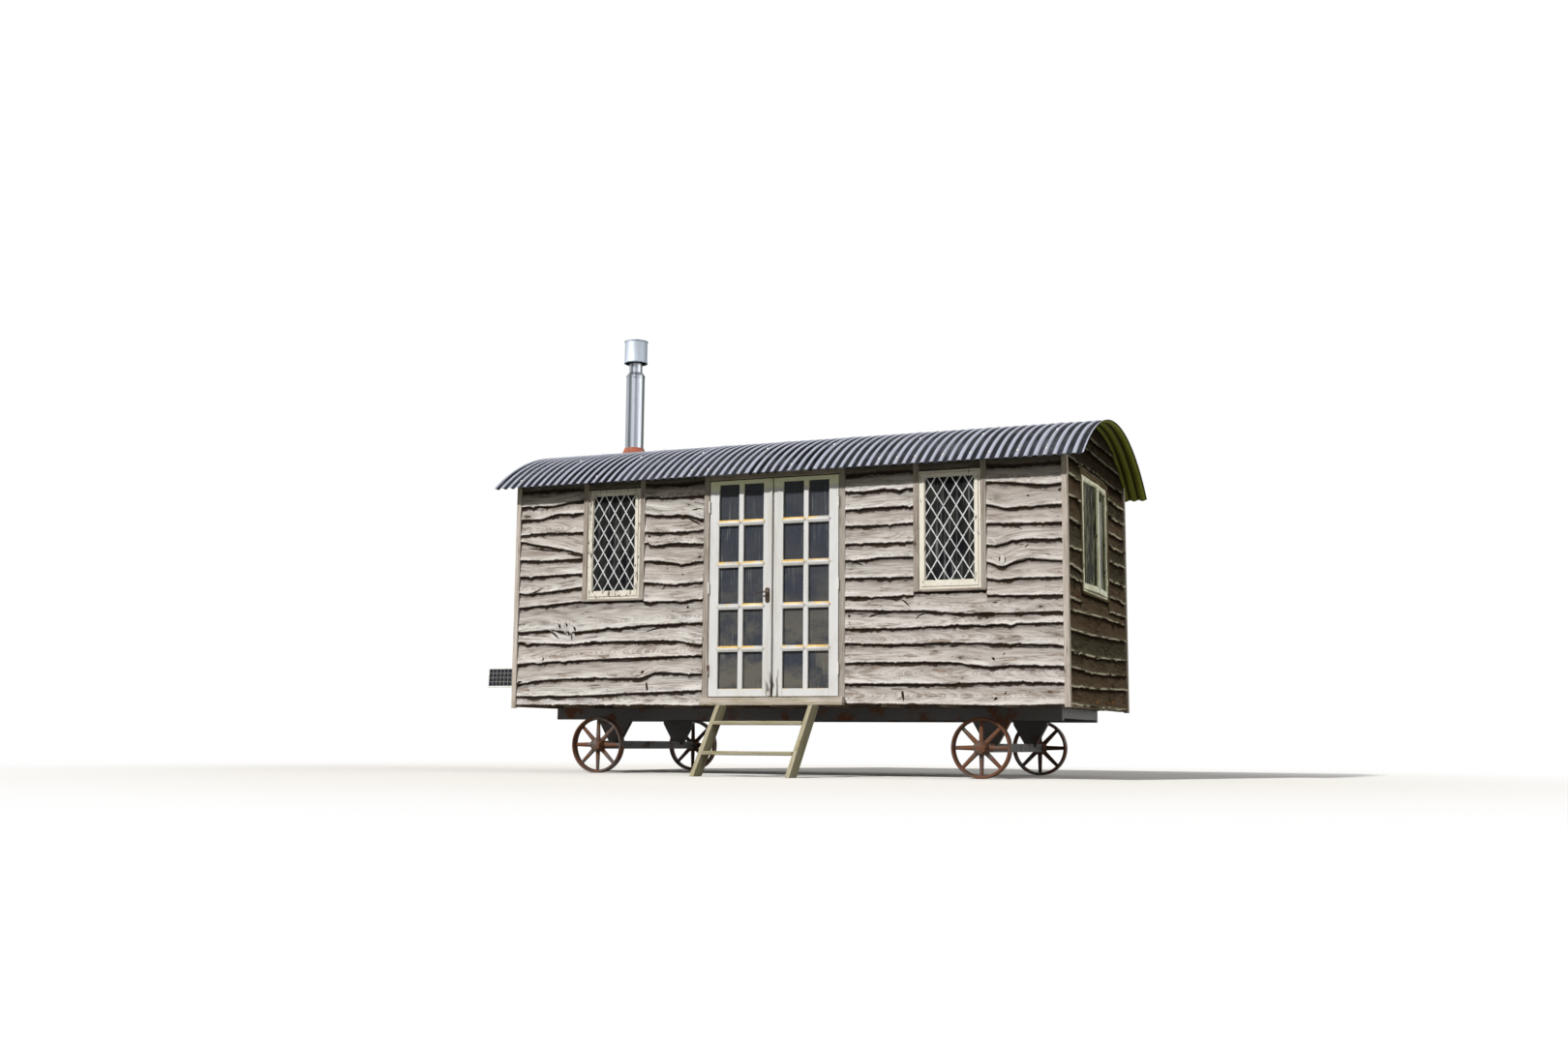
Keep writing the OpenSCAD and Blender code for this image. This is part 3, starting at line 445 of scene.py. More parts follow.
right_low = [
    [(3.12, 0.773), (3.52, 0.755), (3.85, 0.747), (4.07, 0.718), (4.49, 0.716), (4.90, 0.722)],
    [(3.12, 0.621), (3.52, 0.613), (4.01, 0.627), (4.49, 0.632), (4.90, 0.634)],
    [(3.12, 0.502), (3.52, 0.487), (4.01, 0.495), (4.48, 0.479), (4.89, 0.462)],
    [(3.12, 0.343), (3.43, 0.347), (4.01, 0.340), (4.33, 0.298), (4.48, 0.312), (4.89, 0.300)],
    [(3.12, 0.180), (3.60, 0.174), (4.01, 0.171), (4.48, 0.183), (4.89, 0.172)],
    [(3.12, 0.019), (3.84, 0.010), (4.40, 0.001), (4.89, 0.008)]]
gable_left_of_window = [1.795, 1.631, 1.443, 1.231, 1.077, 0.997, 0.828]
gable_right_of_window = [1.800, 1.665, 1.518, 1.408, 1.271, 1.098, 0.953, 0.827]
gable_low = [[(0.09, 0.734), (0.97, 0.753), (2.16, 0.759)], [(0.08, 0.585), (0.96, 0.585), (2.14, 0.614)],
             [(0.07, 0.421), (0.94, 0.410), (2.12, 0.442)], [(0.06, 0.296), (0.93, 0.277), (2.11, 0.308)],
             [(0.05, 0.148), (0.92, 0.154), (2.10, 0.183)], [(0.05, 0.012), (1.10, 0.006), (2.20, 0.010)]]
gable_high = [2.215, 2.088, 1.938]

# Dark places on the front: splits, rotted knots and strips of painted shadow under some lower edges, as (half width,
# points along the middle), measured in the same way
left_splits_and_shadows = [
    (0.012, (0.135, 0.984), (0.204, 0.995), (0.253, 1.019), (0.291, 1.043)),
    (0.012, (0.362, 0.656), (0.402, 0.634), (0.432, 0.608), (0.466, 0.582)),
    (0.009, (0.323, 0.656), (0.382, 0.651), (0.431, 0.633)),
    (0.011, (0.714, 0.503), (0.727, 0.528), (0.751, 0.548), (0.807, 0.56), (0.874, 0.564)),
    (0.017, (0.195, 0.384), (0.234, 0.371), (0.283, 0.362), (0.322, 0.383)),
    (0.012, (0.302, 0.391), (0.311, 0.412), (0.313, 0.437)),
    (0.01, (1.293, 0.629), (1.321, 0.639), (1.376, 0.652), (1.468, 0.671), (1.614, 0.688)),
    (0.018, (1.264, 0.277), (1.285, 0.29), (1.305, 0.302)),
    (0.018, (1.312, 0.212), (1.326, 0.191), (1.329, 0.167), (1.335, 0.118)),
    (0.019, (0.033, 0.204), (0.073, 0.208), (0.112, 0.22)), (0.017, (1.695, 0.849), (1.699, 0.834), (1.702, 0.818)),
    (0.016, (1.322, 1.467), (1.322, 1.453), (1.323, 1.44)), (0.01, (1.3, 1.404), (1.324, 1.37), (1.344, 1.327)),
    (0.013, (1.652, 1.605), (1.716, 1.581), (1.781, 1.537), (1.817, 1.527)),
    (0.022, (1.761, 1.592), (1.798, 1.582), (1.834, 1.572)),
    (0.011, (1.448, 0.976), (1.461, 1.008), (1.497, 1.028), (1.58, 1.042)),
    (0.01, (1.616, 1.041), (1.644, 1.024), (1.663, 0.998)), (0.009, (1.706, 1.652), (1.769, 1.666), (1.833, 1.671)),
    (0.012, (0.112, 1.684), (0.124, 1.675), (0.137, 1.666)), (0.015, (0.114, 1.621), (0.144, 1.624), (0.173, 1.634)),
    (0.014, (0.411, 1.753), (0.431, 1.754), (0.455, 1.759)), (0.013, (0.254, 1.27), (0.314, 1.256), (0.363, 1.264)),
    (0.011, (0.382, 1.266), (0.417, 1.252), (0.451, 1.264)),
    (0.013, (0.072, 1.402), (0.231, 1.375), (0.369, 1.36), (0.497, 1.353)),
    (0.014, (0.497, 1.338), (0.566, 1.319), (0.634, 1.304)), (0.008, (1.494, 1.179), (1.498, 1.171), (1.502, 1.162)),
    (0.008, (1.642, 1.125), (1.646, 1.115), (1.65, 1.105)),
    (0.012, (1.281, 1.631), (1.375, 1.611), (1.505, 1.61), (1.643, 1.596)),
    (0.012, (1.378, 1.472), (1.443, 1.461), (1.535, 1.473), (1.654, 1.464)),
    (0.013, (1.38, 1.353), (1.463, 1.354), (1.574, 1.36), (1.711, 1.343), (1.802, 1.346)),
    (0.015, (1.309, 1.214), (1.457, 1.204), (1.577, 1.198), (1.714, 1.186), (1.822, 1.194)),
    (0.012, (1.063, 0.547), (1.203, 0.537), (1.351, 0.539), (1.525, 0.529), (1.671, 0.537)),
    (0.009, (1.689, 0.54), (1.761, 0.519), (1.825, 0.502)),
    (0.011, (0.878, 0.381), (1.066, 0.384), (1.252, 0.391), (1.436, 0.404), (1.664, 0.407)),
    (0.013, (0.312, 0.091), (0.696, 0.094), (1.073, 0.103), (1.442, 0.109), (1.804, 0.127)),
    (0.015, (0.518, 0.644), (0.681, 0.645), (0.871, 0.66), (1.06, 0.666), (1.265, 0.679)),
    (0.016, (0.450, 0.724), (0.462, 0.700), (0.478, 0.668)), (0.011, (0.518, 0.738), (0.540, 0.712), (0.541, 0.676)),
    (0.012, (0.576, 0.622), (0.586, 0.597), (0.587, 0.568)), (0.015, (0.599, 0.702), (0.617, 0.672), (0.629, 0.638))]
right_splits_and_shadows = [
    (0.013, (3.177, 1.737), (3.227, 1.717), (3.311, 1.713), (3.377, 1.73)),
    (0.011, (3.469, 1.744), (3.551, 1.726), (3.658, 1.726)), (0.013, (4.625, 1.644), (4.638, 1.625), (4.652, 1.64)),
    (0.014, (4.87, 1.675), (4.885, 1.664), (4.9, 1.656)),
    (0.01, (4.422, 1.532), (4.469, 1.519), (4.531, 1.518), (4.593, 1.531)),
    (0.009, (4.313, 1.56), (4.376, 1.551), (4.438, 1.545)), (0.007, (4.522, 1.406), (4.56, 1.385), (4.595, 1.367)),
    (0.014, (4.31, 1.255), (4.357, 1.239), (4.404, 1.238), (4.443, 1.265)),
    (0.017, (4.301, 1.126), (4.371, 1.096), (4.425, 1.07), (4.48, 1.091), (4.572, 1.112), (4.634, 1.12)),
    (0.007, (4.604, 1.22), (4.622, 1.242), (4.643, 1.262)),
    (0.013, (3.128, 1.181), (3.195, 1.164), (3.295, 1.166), (3.394, 1.17)),
    (0.009, (3.178, 1.162), (3.237, 1.15), (3.278, 1.127)), (0.008, (3.501, 0.862), (3.541, 0.849), (3.566, 0.827)),
    (0.008, (3.574, 0.857), (3.611, 0.841), (3.645, 0.812), (3.679, 0.773)),
    (0.017, (3.146, 0.742), (3.149, 0.725), (3.153, 0.708)),
    (0.012, (3.312, 0.712), (3.336, 0.717), (3.369, 0.728), (3.419, 0.736)),
    (0.009, (3.711, 0.68), (3.732, 0.707), (3.764, 0.728), (3.824, 0.732)),
    (0.012, (3.832, 0.741), (3.952, 0.731), (4.055, 0.724), (4.149, 0.735)),
    (0.011, (4.173, 0.735), (4.29, 0.717), (4.399, 0.729)),
    (0.011, (4.46, 0.714), (4.522, 0.701), (4.613, 0.709), (4.705, 0.713)),
    (0.007, (4.765, 0.686), (4.796, 0.708), (4.856, 0.717)), (0.018, (4.333, 0.379), (4.347, 0.364), (4.362, 0.353)),
    (0.008, (4.421, 0.391), (4.432, 0.403), (4.443, 0.413)), (0.015, (3.846, 0.329), (3.884, 0.335), (3.918, 0.327)),
    (0.013, (3.18, 0.341), (3.213, 0.324), (3.246, 0.336)),
    (0.008, (3.32, 0.344), (3.378, 0.334), (3.435, 0.32), (3.533, 0.317)),
    (0.018, (3.597, 0.13), (3.603, 0.107), (3.608, 0.085), (3.616, 0.031)),
    (0.015, (4.345, 0.049), (4.362, 0.055), (4.384, 0.062)), (0.011, (4.427, 0.093), (4.44, 0.101), (4.454, 0.108)),
    (0.009, (4.337, 0.808), (4.364, 0.802), (4.392, 0.81)),
    (0.011, (4.169, 0.312), (4.27, 0.296), (4.379, 0.295), (4.456, 0.312)),
    (0.009, (4.578, 0.298), (4.654, 0.29), (4.745, 0.297), (4.865, 0.294)),
    (0.011, (3.246, 0.621), (3.345, 0.609), (3.525, 0.611), (3.687, 0.614)),
    (0.009, (3.096, 0.501), (3.262, 0.483), (3.508, 0.48), (3.751, 0.472), (3.958, 0.466)),
    (0.012, (3.974, 0.472), (4.029, 0.463), (4.084, 0.474)),
    (0.009, (4.241, 0.467), (4.457, 0.46), (4.686, 0.447), (4.882, 0.443)),
    (0.011, (3.139, 0.167), (3.386, 0.161), (3.67, 0.162), (3.948, 0.166), (4.067, 0.176)),
    (0.012, (4.308, 0.98), (4.409, 0.962), (4.509, 0.971), (4.601, 0.98)),
    (0.008, (4.626, 1.724), (4.687, 1.708), (4.779, 1.706), (4.886, 1.706)),
    (0.009, (4.4, 1.171), (4.406, 1.145), (4.404, 1.118)), (0.007, (4.45, 1.165), (4.454, 1.139), (4.449, 1.112))]

# Lumps of splintered wood among them, as (half width, how far they stand proud, points along the middle)
left_lumps = [
    (0.022, 0.005, (0.470, 0.758), (0.492, 0.733), (0.513, 0.691), (0.520, 0.652), (0.548, 0.617)),
    (0.025, 0.003, (0.535, 0.748), (0.563, 0.727), (0.593, 0.708), (0.640, 0.694)),
    (0.023, 0.004, (0.562, 0.702), (0.573, 0.675), (0.588, 0.640), (0.610, 0.606)),
    (0.012, 0.004, (0.331, 0.394), (0.283, 0.388), (0.244, 0.387), (0.214, 0.392)),
    (0.012, 0.004, (0.352, 0.672), (0.401, 0.658), (0.45, 0.623), (0.48, 0.602))]
right_lumps = [
    (0.018, 0.007, (4.419, 1.186), (4.426, 1.163), (4.431, 1.132), (4.427, 1.098), (4.425, 1.082)),
    (0.015, 0.005, (4.311, 1.3), (4.342, 1.306), (4.365, 1.279), (4.396, 1.252))]


nibs_of = {}


def straight_runs(points, at):
    if at <= points[0][0]:
        return points[0][1]
    for (a, low), (b, high) in zip(points, points[1:]):
        if at <= b:
            return low + (high - low) * (at - a) / (b - a)
    return points[-1][1]


def along_edge(points, at):
    """Height of a board's lower edge there: straight from one measured point to the next, with eased corners."""
    return sum(straight_runs(points, at + step) for step in (-0.026, -0.013, 0, 0.013, 0.026)) / 5


def edge_nibs(seed):
    """Places, half widths and depths of the knots that hang below a natural edge, and of the bites torn out of it."""
    dice = random.Random(round(seed * 100))
    return [(dice.uniform(-0.1, 5.1), dice.uniform(0.010, 0.060),
             dice.choice((1, 1, -1)) * dice.uniform(0.002, 0.010)) for _ in range(22)]


def waney(points, at, seed, wander=0.0035):
    """The same edge with the rough bark line, nibs and bites of a natural edge."""
    bark_line = (0.6 * noise((at * 6, seed * 7.31, 0.3)) + 0.8 * noise((at * 27, seed * 3.17, 4.1))
                 + 0.7 * noise((at * 75, seed * 1.93, 8.2)))
    height = along_edge(points, at) + wander * bark_line
    for spot, half, depth in nibs_of.setdefault(seed, edge_nibs(seed)):
        if abs(at - spot) < half:
            height -= depth * (1 - abs(at - spot) / half) ** 1.5
    return max(height, 0.001)


def waney_board(form, start, end, low, high, seed, wander, flare, top, step):
    """One lapped board from start to end along the wall: (along, out of the wall frame, height). low and high are
    its own lower edge and that of the board above it; top(along) is where the roof cuts it."""
    grain = form.verts.layers.float_vector["grain"]
    rise, under = form.verts.layers.float["rise"], form.verts.layers.float["under"]
    while waney(low, start, seed, wander) > top(start) - 0.015:
        start += 0.005
    while waney(low, end, seed, wander) > top(end) - 0.015:
        end -= 0.005
    count = max(2, round((end - start) / step))
    rings, laps, straights = [], [], []
    cup = 0.0025 * noise((seed * 1.7, 2.2, 0.5))
    for i in range(count + 1):
        at = start + (end - start) * i / count
        z0 = waney(low, at, seed, wander)
        z1 = max(z0 + 0.02, high(at) + board_lap)
        laps.append(high(at))
        straights.append(along_edge(low, at))
        ragged = 0.002 * noise((at * 31, seed, 7.7))
        twist = 0.0025 * noise((at * 1.3, seed * 2.9, 1.1))
        points = [(face_top - board_t * 0.5, z1), (face_top, z1)]
        for share in (0.75, 0.5, 0.28, 0.12):
            out = face_top + (face_low - face_top) * (1 - share) + twist + cup * sin(pi * share)
            out += flare * exp(-share * 9) + 0.0012 * noise((at * 14, share * 3, seed))
            points.append((out, z0 + (z1 - z0) * share))
        nose = face_low + flare + twist + ragged
        points += [(nose, z0 + 0.007), (nose - 0.0035, z0 + 0.0015), (nose - 0.010, z0), (nose - board_t, z0 + 0.003)]
        roof = top(at)
        rings.append([(at, out, min(z, roof)) for out, z in points])
    vertices = iter(lofted(form, rings))
    for ring, lap, straight in zip(rings, laps, straights):
        for point in ring:
            vertex = next(vertices)
            vertex[grain] = (vertex.co.x + seed * 2.37, vertex.co.z - straight, seed * 0.173)
            vertex[rise], vertex[under] = vertex.co.z - ring[-2][2], lap - vertex.co.z


def gable_top(at):
    """Underside of the roof sheets over a gable, above the boards' foot."""
    return roof_z + sqrt(valley_r ** 2 - (at - roof_mid) ** 2) - 0.003


def side_by_side(form, start, end, edges, over, first_seed, wander=0.0035, flare=0.0, top=lambda at: open_sky,
                 step=0.008):
    """Boards one under another; over is the height, or a rule for the height, of what laps the uppermost."""
    above = over if callable(over) else lambda at: over
    for number, points in enumerate(edges):
        seed = first_seed + number * seed_step
        waney_board(form, start, end, points, above, seed, wander, flare, top, step)
        rows.append((start, end, points, seed, wander))
        above = lambda at, points=points, seed=seed: waney(points, at, seed, wander)


def fixings_tree():
    """A low round head on every point that comes in, standing on the way that its vector "out" points."""
    tree, given = new_tree("fixings", {"Sides": "Int", "Radius": "Float", "Height": "Float"})
    cone = {"Vertices": given["Sides"], "Radius Bottom": given["Radius"], "Radius Top": given["Radius"] * 0.55,
            "Depth": given["Height"]}
    out = node(tree, "GeometryNodeInputNamedAttribute", {"Name": "out"}, data_type="FLOAT_VECTOR")
    heads = {"Points": given["Geometry"], "Instance": node(tree, "GeometryNodeMeshCone", cone),
             "Rotation": node(tree, "FunctionNodeAlignRotationToVector", {"Vector": out}, axis="Z")}
    return coated(given, node(tree, "GeometryNodeInstanceOnPoints", heads))


fixings = fixings_tree()


def fixed(name, places, sides, radius, height, finish):
    """Fixings at (point, way out) places in hut coordinates, as one piece."""
    points = bpy.data.meshes.new("points")
    points.from_pydata([point for point, out in places], [], [])
    outs = points.attributes.new("out", "FLOAT_VECTOR", "POINT")
    outs.data.foreach_set("vector", [value for point, out in places for value in out])
    form = bmesh.new()
    form.from_mesh(grown(fixings, points, {"Sides": sides, "Radius": radius, "Height": height, "Finish": finish}))
    return piece(name, form, finish, (), 40)


rows = []
nail_steel = rusting_metal("nail_steel", (0.030, 0.027, 0.025), 0.56)


def new_timbers():
    form = bmesh.new()
    form.verts.layers.float_vector.new("grain")
    return form


def new_boards():
    rows.clear()
    form = new_timbers()
    form.verts.layers.float.new("rise")
    form.verts.layers.float.new("under")
    return form


def on_wall(form, wall, name, finish, stands_for):
    """Moves boards from (along, out, height) to the wall that they clad, in hut coordinates, and nails them there.
    The nails and the boards become two pieces."""
    skin, dice = BVHTree.FromBMesh(form), random.Random(len(rows))
    places = {"front": lambda p: (p[0], clad_t - p[1], p[2]), "back": lambda p: (p[0], hut_w - clad_t + p[1], p[2]),
              "left": lambda p: (clad_t - p[1], p[0], p[2]), "right": lambda p: (hut_l - clad_t + p[1], p[0], p[2])}
    nails = []
    for start, end, points, seed, wander in rows:
        nailed = end - start - 2 * nail_in
        studs = max(1, round(nailed / stud_pitch))
        for i in range(studs + 1):
            at = start + nail_in + nailed * i / studs + dice.uniform(-0.006, 0.006)
            height = waney(points, at, seed, wander) + nail_up + dice.uniform(-0.006, 0.006)
            hit = skin.ray_cast(Vector((at, 0.2, height)), Vector((0, -1, 0)), 0.3)[0]
            if hit and hit.y > face_top:
                out = Vector(places[wall]((0, 1, 0))) - Vector(places[wall]((0, 0, 0)))
                nails.append((Vector(places[wall](hit)), out))
    for vertex in form.verts:
        vertex.co = places[wall](vertex.co)
    fixed(f"{name}_nails", nails, 8, nail_r, nail_h, nail_steel)
    piece(name, form, finish, [stands_for], 40)


def weathered_wood(name, pale, brown, dark, waney_edge=False, stain=0.0, green=0.0, rim=None):
    """Silvered timber. Its grain follows the vectors kept on the piece: along the fibres, then across them. On the
    boards, rise is the height above their lower edge and under the depth below the lap over them."""
    finish, tree, shader = new_finish(name)
    grain = node(tree, "ShaderNodeAttribute", attribute_name="grain")["Vector"]
    apart = apart_of(grain)
    along = apart[0]
    flow = mottle(grain, (2.2, 11, 10), 3) - 0.5
    spots = node(tree, "ShaderNodeTexVoronoi", {"Vector": stretched(grain, (3.2, 6.5, 6.5)), "Scale": 1.0})
    chosen = maths("GREATER_THAN", node(tree, "ShaderNodeSeparateColor", {0: spots["Color"]}), 0.55)
    near_knot = faded(spots["Distance"], 0.0, 0.45, 1, 0) * chosen
    knot = faded(spots["Distance"], 0.040, 0.085, 1, 0) * chosen
    knot_ring = faded(spots["Distance"], 0.10, 0.16, 1, 0) * chosen
    patches = mottle(grain, (4.5, 26, 14), 5, 0.62)

    def of_board(salt, low, high):
        """A number between low and high that is the same all over one board."""
        return faded(mottle(grain, (0, 0, salt), 0), 0.30, 0.70, low, high)

    if waney_edge:
        rise = node(tree, "ShaderNodeAttribute", attribute_name="rise")["Fac"]
        under = node(tree, "ShaderNodeAttribute", attribute_name="under")["Fac"]
        heart = apart[1] - 0.070 + of_board(47, -0.045, 0.045) + mottle(grain, (0.8, 0, 9), 2) * 0.06
        ring = heart * heart * 14.0 + along * of_board(73, -0.24, 0.24)
    else:
        ring = apart[1] + apart[2]
    ring = ring + flow * (0.034 if waney_edge else 0.05) + near_knot * 0.060
    straight = apart[1] + apart[2] + flow * 0.014

    def streaks(across, along_scale, across_scale, detail, roughness=0.55):
        line = node(tree, "ShaderNodeCombineXYZ", {0: along * along_scale, 1: across * across_scale})
        return mottle(line, 1, detail, roughness)

    bands = streaks(ring, 1.5, 64, 4, 0.6)
    rings = streaks(ring, 2.5, 210, 3)
    silvering = streaks(straight, 4.5, 75, 5, 0.62)
    fibres = streaks(straight, 14, 900, 2)
    splits = faded(abs(streaks(straight, 3.2, 48, 2, 0.45) - 0.5), 0.004, 0.013, 1, 0)
    checks = splits * faded(patches, 0.56, 0.62)
    tone = bands * 0.62 + rings * 0.38
    latewood = faded(node(tree, "ShaderNodeMath", {0: ring * 760.0 + bands * 9.0}, operation="SINE"), 0.10, 0.95)
    wood = mixed(faded(tone, 0.42, 0.62, 0, 0.85), pale, brown)
    wood = mixed(latewood * faded(patches, 0.38, 0.62, 0.15, 0.75), wood, brown)
    wood = mixed(faded(silvering, 0.48, 0.64, 0, 0.80), wood, pale)
    wood = mixed(faded(silvering, 0.30, 0.45, 0.60, 0), wood, brown)
    wood = mixed(faded(patches, 0.54, 0.74, 0, 0.50), wood, brown)
    wood = mixed(faded(fibres, 0.45, 0.75, 0.0, 0.24), wood, dark)
    wood = mixed(of_board(31, 0.0, 0.30), wood, brown)
    wood = mixed(of_board(59, 0.0, 0.16), wood, (0.36, 0.20, 0.13))
    if waney_edge:
        # Painted shade with some dirt darkens each board towards its top under the lap above, and a painted highlight
        # brightens it near its lower edge.
        share = rise / (rise + maths("MAXIMUM", under, 0.0))
        lap_light_share = share + (patches - 0.5) * 1.1
        wood = mixed(faded(lap_light_share, 0.40, 1.05, 0, 0.55), wood, brown)
        wood = mixed(faded(lap_light_share, -0.05, 0.36, 0.60, 0), wood, tuple(min(0.82, 1.14 * c) for c in pale))
    wood = mixed(near_knot * faded(rings, 0.42, 0.58, 0.1, 0.8), wood, brown)
    wood = mixed(knot_ring * 0.55, wood, brown)
    wood = mixed(checks * 0.88, wood, dark)
    wood = mixed(knot * 0.9, wood, dark)
    low = apart_of(object_place(tree))[2]
    if stain:
        damp = faded(low, 0.62, 1.3, 1, 0.25) * faded(patches, 0.60, 0.70)
        wood = mixed(damp * stain, wood, tan_stain)
    if green:
        moss = faded(low, 0.3, 0.9, 1, 0.25) * faded(patches, 0.42, 0.62)
        wood = mixed(moss * green, wood, (0.30, 0.29, 0.11))
    height = bands * 0.9 + fibres * 0.35 - (checks + knot)
    if waney_edge:
        ragged = rise + mottle(grain, (45, 60, 5), 4) * -0.016
        wood = mixed(faded(ragged, -0.002, 0.005, 0.92, 0), wood, bark)
        torn = mottle(grain, (7, 4, 9), 3, 0.6) + mottle(grain, (42, 60, 9), 2) * 0.14
        # Painted shade with grime under each lap: darker within 40 mm below the lap edge, and near black in a ragged
        # band just under it.
        lap_shade_and_grime = under - faded(torn, 0.42, 0.76, 0.007, 0.030)
        wood = mixed(faded(under, 0.0, 0.040, 0.72, 0), wood, dark)
        wood = mixed(faded(lap_shade_and_grime, -0.003, 0.008, 0.94, 0), wood,
                     mixed(patches, (0.010, 0.008, 0.006), (0.040, 0.022, 0.012)))
        # Painted highlight: where a rim colour is given, the lower noses of the boards take it in patches.
        if rim:
            lit = faded(rise, 0.004, 0.024, 1, 0) * faded(patches, 0.40, 0.56)
            wood = mixed(lit * 0.85, wood, rim)
        # Painted shade under the eave: the boards darken between these heights.
        wood = mixed(faded(low, *eave_shade_heights, 0, 0.74), wood, dark)
        crack = splits * (faded(under, 0.025, 0.055, 1, 0) * faded(patches, 0.47, 0.53))
        wood = mixed(crack * 0.9, wood, (0.016, 0.011, 0.008))
        height = height - crack
    surface(shader, wood, faded(tone, 0.3, 0.7, 0.78, 0.95), height, 0.0035,
            {"Specular IOR Level": 0.08 if pale[0] > 0.3 else 0.0})
    return finish


def level_edges(heights, start, end, seed):
    """Edges for boards that aren't measured one by one: near these heights, with a little fall and bow."""
    dice = random.Random(seed)
    edges = []
    for height in heights:
        fall, bow = dice.uniform(-0.011, 0.011), dice.uniform(-0.010, 0.010)
        stops = [start + (end - start) * i / 6 for i in range(7)]
        edges.append([(at, height + fall * (i / 3 - 1) + bow * sin(pi * i / 6)
                       + dice.uniform(-0.006, 0.006)) for i, at in enumerate(stops)])
    return edges


waney_boards = weathered_wood("waney_boards", silver, ash, umber, waney_edge=True, stain=0.4)
# The shaded gable's boards: a darker copy of the boards whose colours are painted shade, with a painted highlight on
# their lower noses.
shaded_boards = weathered_wood("waney_boards_shaded", (0.122, 0.108, 0.073), (0.015, 0.012, 0.006),
                               (0.006, 0.004, 0.002), True, 0.8, rim=(0.82, 0.78, 0.60))

window_l, window_r, window_w = 0.725, 3.745, 0.510
window_top, window_foot = 1.875, 0.925
door_l, door_w, jamb_w = 1.894, 1.170, 0.052
gable_window_y, gable_window_w = 0.540, 0.960
end_gap = 0.0008
post_end, far_post = post_w + end_gap, hut_l - post_w - end_gap
sill_h = 0.020


def foot_of_upper(start, end, before, first_before, after, first_after):
    """Rules for what laps the low boards beside and below a window, and for where they stop under its sill."""

    def laps(at):
        if start < at < end:
            return window_foot - sill_h
        points, first = (before, first_before) if at <= start else (after, first_after)
        return waney(points[-1], at, first + (len(points) - 1) * seed_step)

    return laps, lambda at: window_foot - 0.004 if start < at < end else open_sky


def torn(form, marks, dark):
    """Torn places on the boards' faces: lumps of splintered wood, or if dark the splits, rotted knots, loose bark and
    strips of painted shadow under some edges, which stand hardly proud at all and take the boards' painted lap shade."""
    faces = BVHTree.FromBMesh(form)
    layers = form.verts.layers
    for half, *points in marks:
        proud = split_proud if dark else points.pop(0)
        points = [Vector(point) for point in points]
        stops = [a.lerp(b, k / 5) for a, b in zip(points, points[1:]) for k in range(5)] + points[-1:]
        rings = []
        for i, stop in enumerate(stops):
            before, after = stops[max(i - 3, 0)], stops[min(i + 3, len(stops) - 1)]
            x, z = (before + after + stop) / 3 if 0 < i < len(stops) - 1 else stop
            ahead = (after - before).normalized()
            hit = faces.ray_cast(Vector((x, 1.0, z)), Vector((0, -1, 0)))[0]
            face = hit.y if hit else face_low
            share = 0.05 + 0.95 * sin(pi * i / (len(stops) - 1)) ** 0.75
            ring = []
            for step in range(12):
                turn = pi * step / 6
                side = cos(turn)
                rough = 1 + 0.45 * noise((x * 90 + side, half * 300, z * 90))
                deep = (0.003 + proud * share * rough) * sin(turn)
                across = half * share * rough * side
                ring.append((x - ahead.y * across, face - 0.003 + deep, z + ahead.x * across))
            rings.append(ring)
        for vertex in lofted(form, rings):
            vertex[layers.float_vector["grain"]] = (vertex.co.z * 1.3, vertex.co.x, half)
            vertex[layers.float["rise"]] = 0.0055 if dark else 0.035
            vertex[layers.float["under"]] = 0.0 if dark else 0.3


jamb_l, jamb_r = door_l - jamb_w - end_gap, door_l + door_w + jamb_w + end_gap
eave_lap = long_top - board_lap
for side, start, end, window, before, after, low, splits, lumps, head, seed in (
        ("left", post_end, jamb_l, window_l, left_of_window, window_to_door, left_low, left_splits_and_shadows, left_lumps,
         (0.004, 0.001), 1.0),
        ("right", jamb_r, far_post, window_r, door_to_window, right_of_window, right_low, right_splits_and_shadows, right_lumps,
         (0.002, 0.004), 81.0)):
    near, past = window - post_w - end_gap, window + window_w + post_w + end_gap
    form = new_boards()
    side_by_side(form, start, near, before, eave_lap, seed)
    side_by_side(form, past, end, after, eave_lap, seed + 20)
    laps, stops = foot_of_upper(near, past, before, seed, after, seed + 20)
    side_by_side(form, start, end, low, laps, seed + 40, top=stops)
    torn(form, splits, True)
    torn(form, lumps, False)
    over_window = [(window, window_top + head[0]), (window + window_w, window_top + head[1])]
    side_by_side(form, window + end_gap, window + window_w - end_gap, [over_window], eave_lap, seed + 60, 0.001)
    on_wall(form, "front", f"front_boards_{side}", waney_boards, f"front_cladding_{side}")

gable_end = hut_w - post_end
frame_near, frame_far = gable_window_y - post_w - end_gap, gable_window_y + gable_window_w + post_w + end_gap
form = new_boards()
side_by_side(form, post_end, gable_end, level_edges(gable_high, post_end, gable_end, 3), ridge_lap, 161.0, 0.005,
             0.004, gable_top)
near_edges = level_edges(gable_left_of_window, post_end, frame_near, 5)
far_edges = level_edges(gable_right_of_window, frame_far, gable_end, 7)
side_by_side(form, post_end, frame_near, near_edges, gable_high[-1], 181.0, 0.005, 0.006)
side_by_side(form, frame_far, gable_end, far_edges, gable_high[-1], 201.0, 0.005, 0.006)
laps, stops = foot_of_upper(frame_near, frame_far, near_edges, 181.0, far_edges, 201.0)
side_by_side(form, post_end, gable_end, gable_low, laps, 221.0, 0.005, 0.006, stops)
on_wall(form, "right", "right_gable_boards", shaded_boards, "right_cladding")

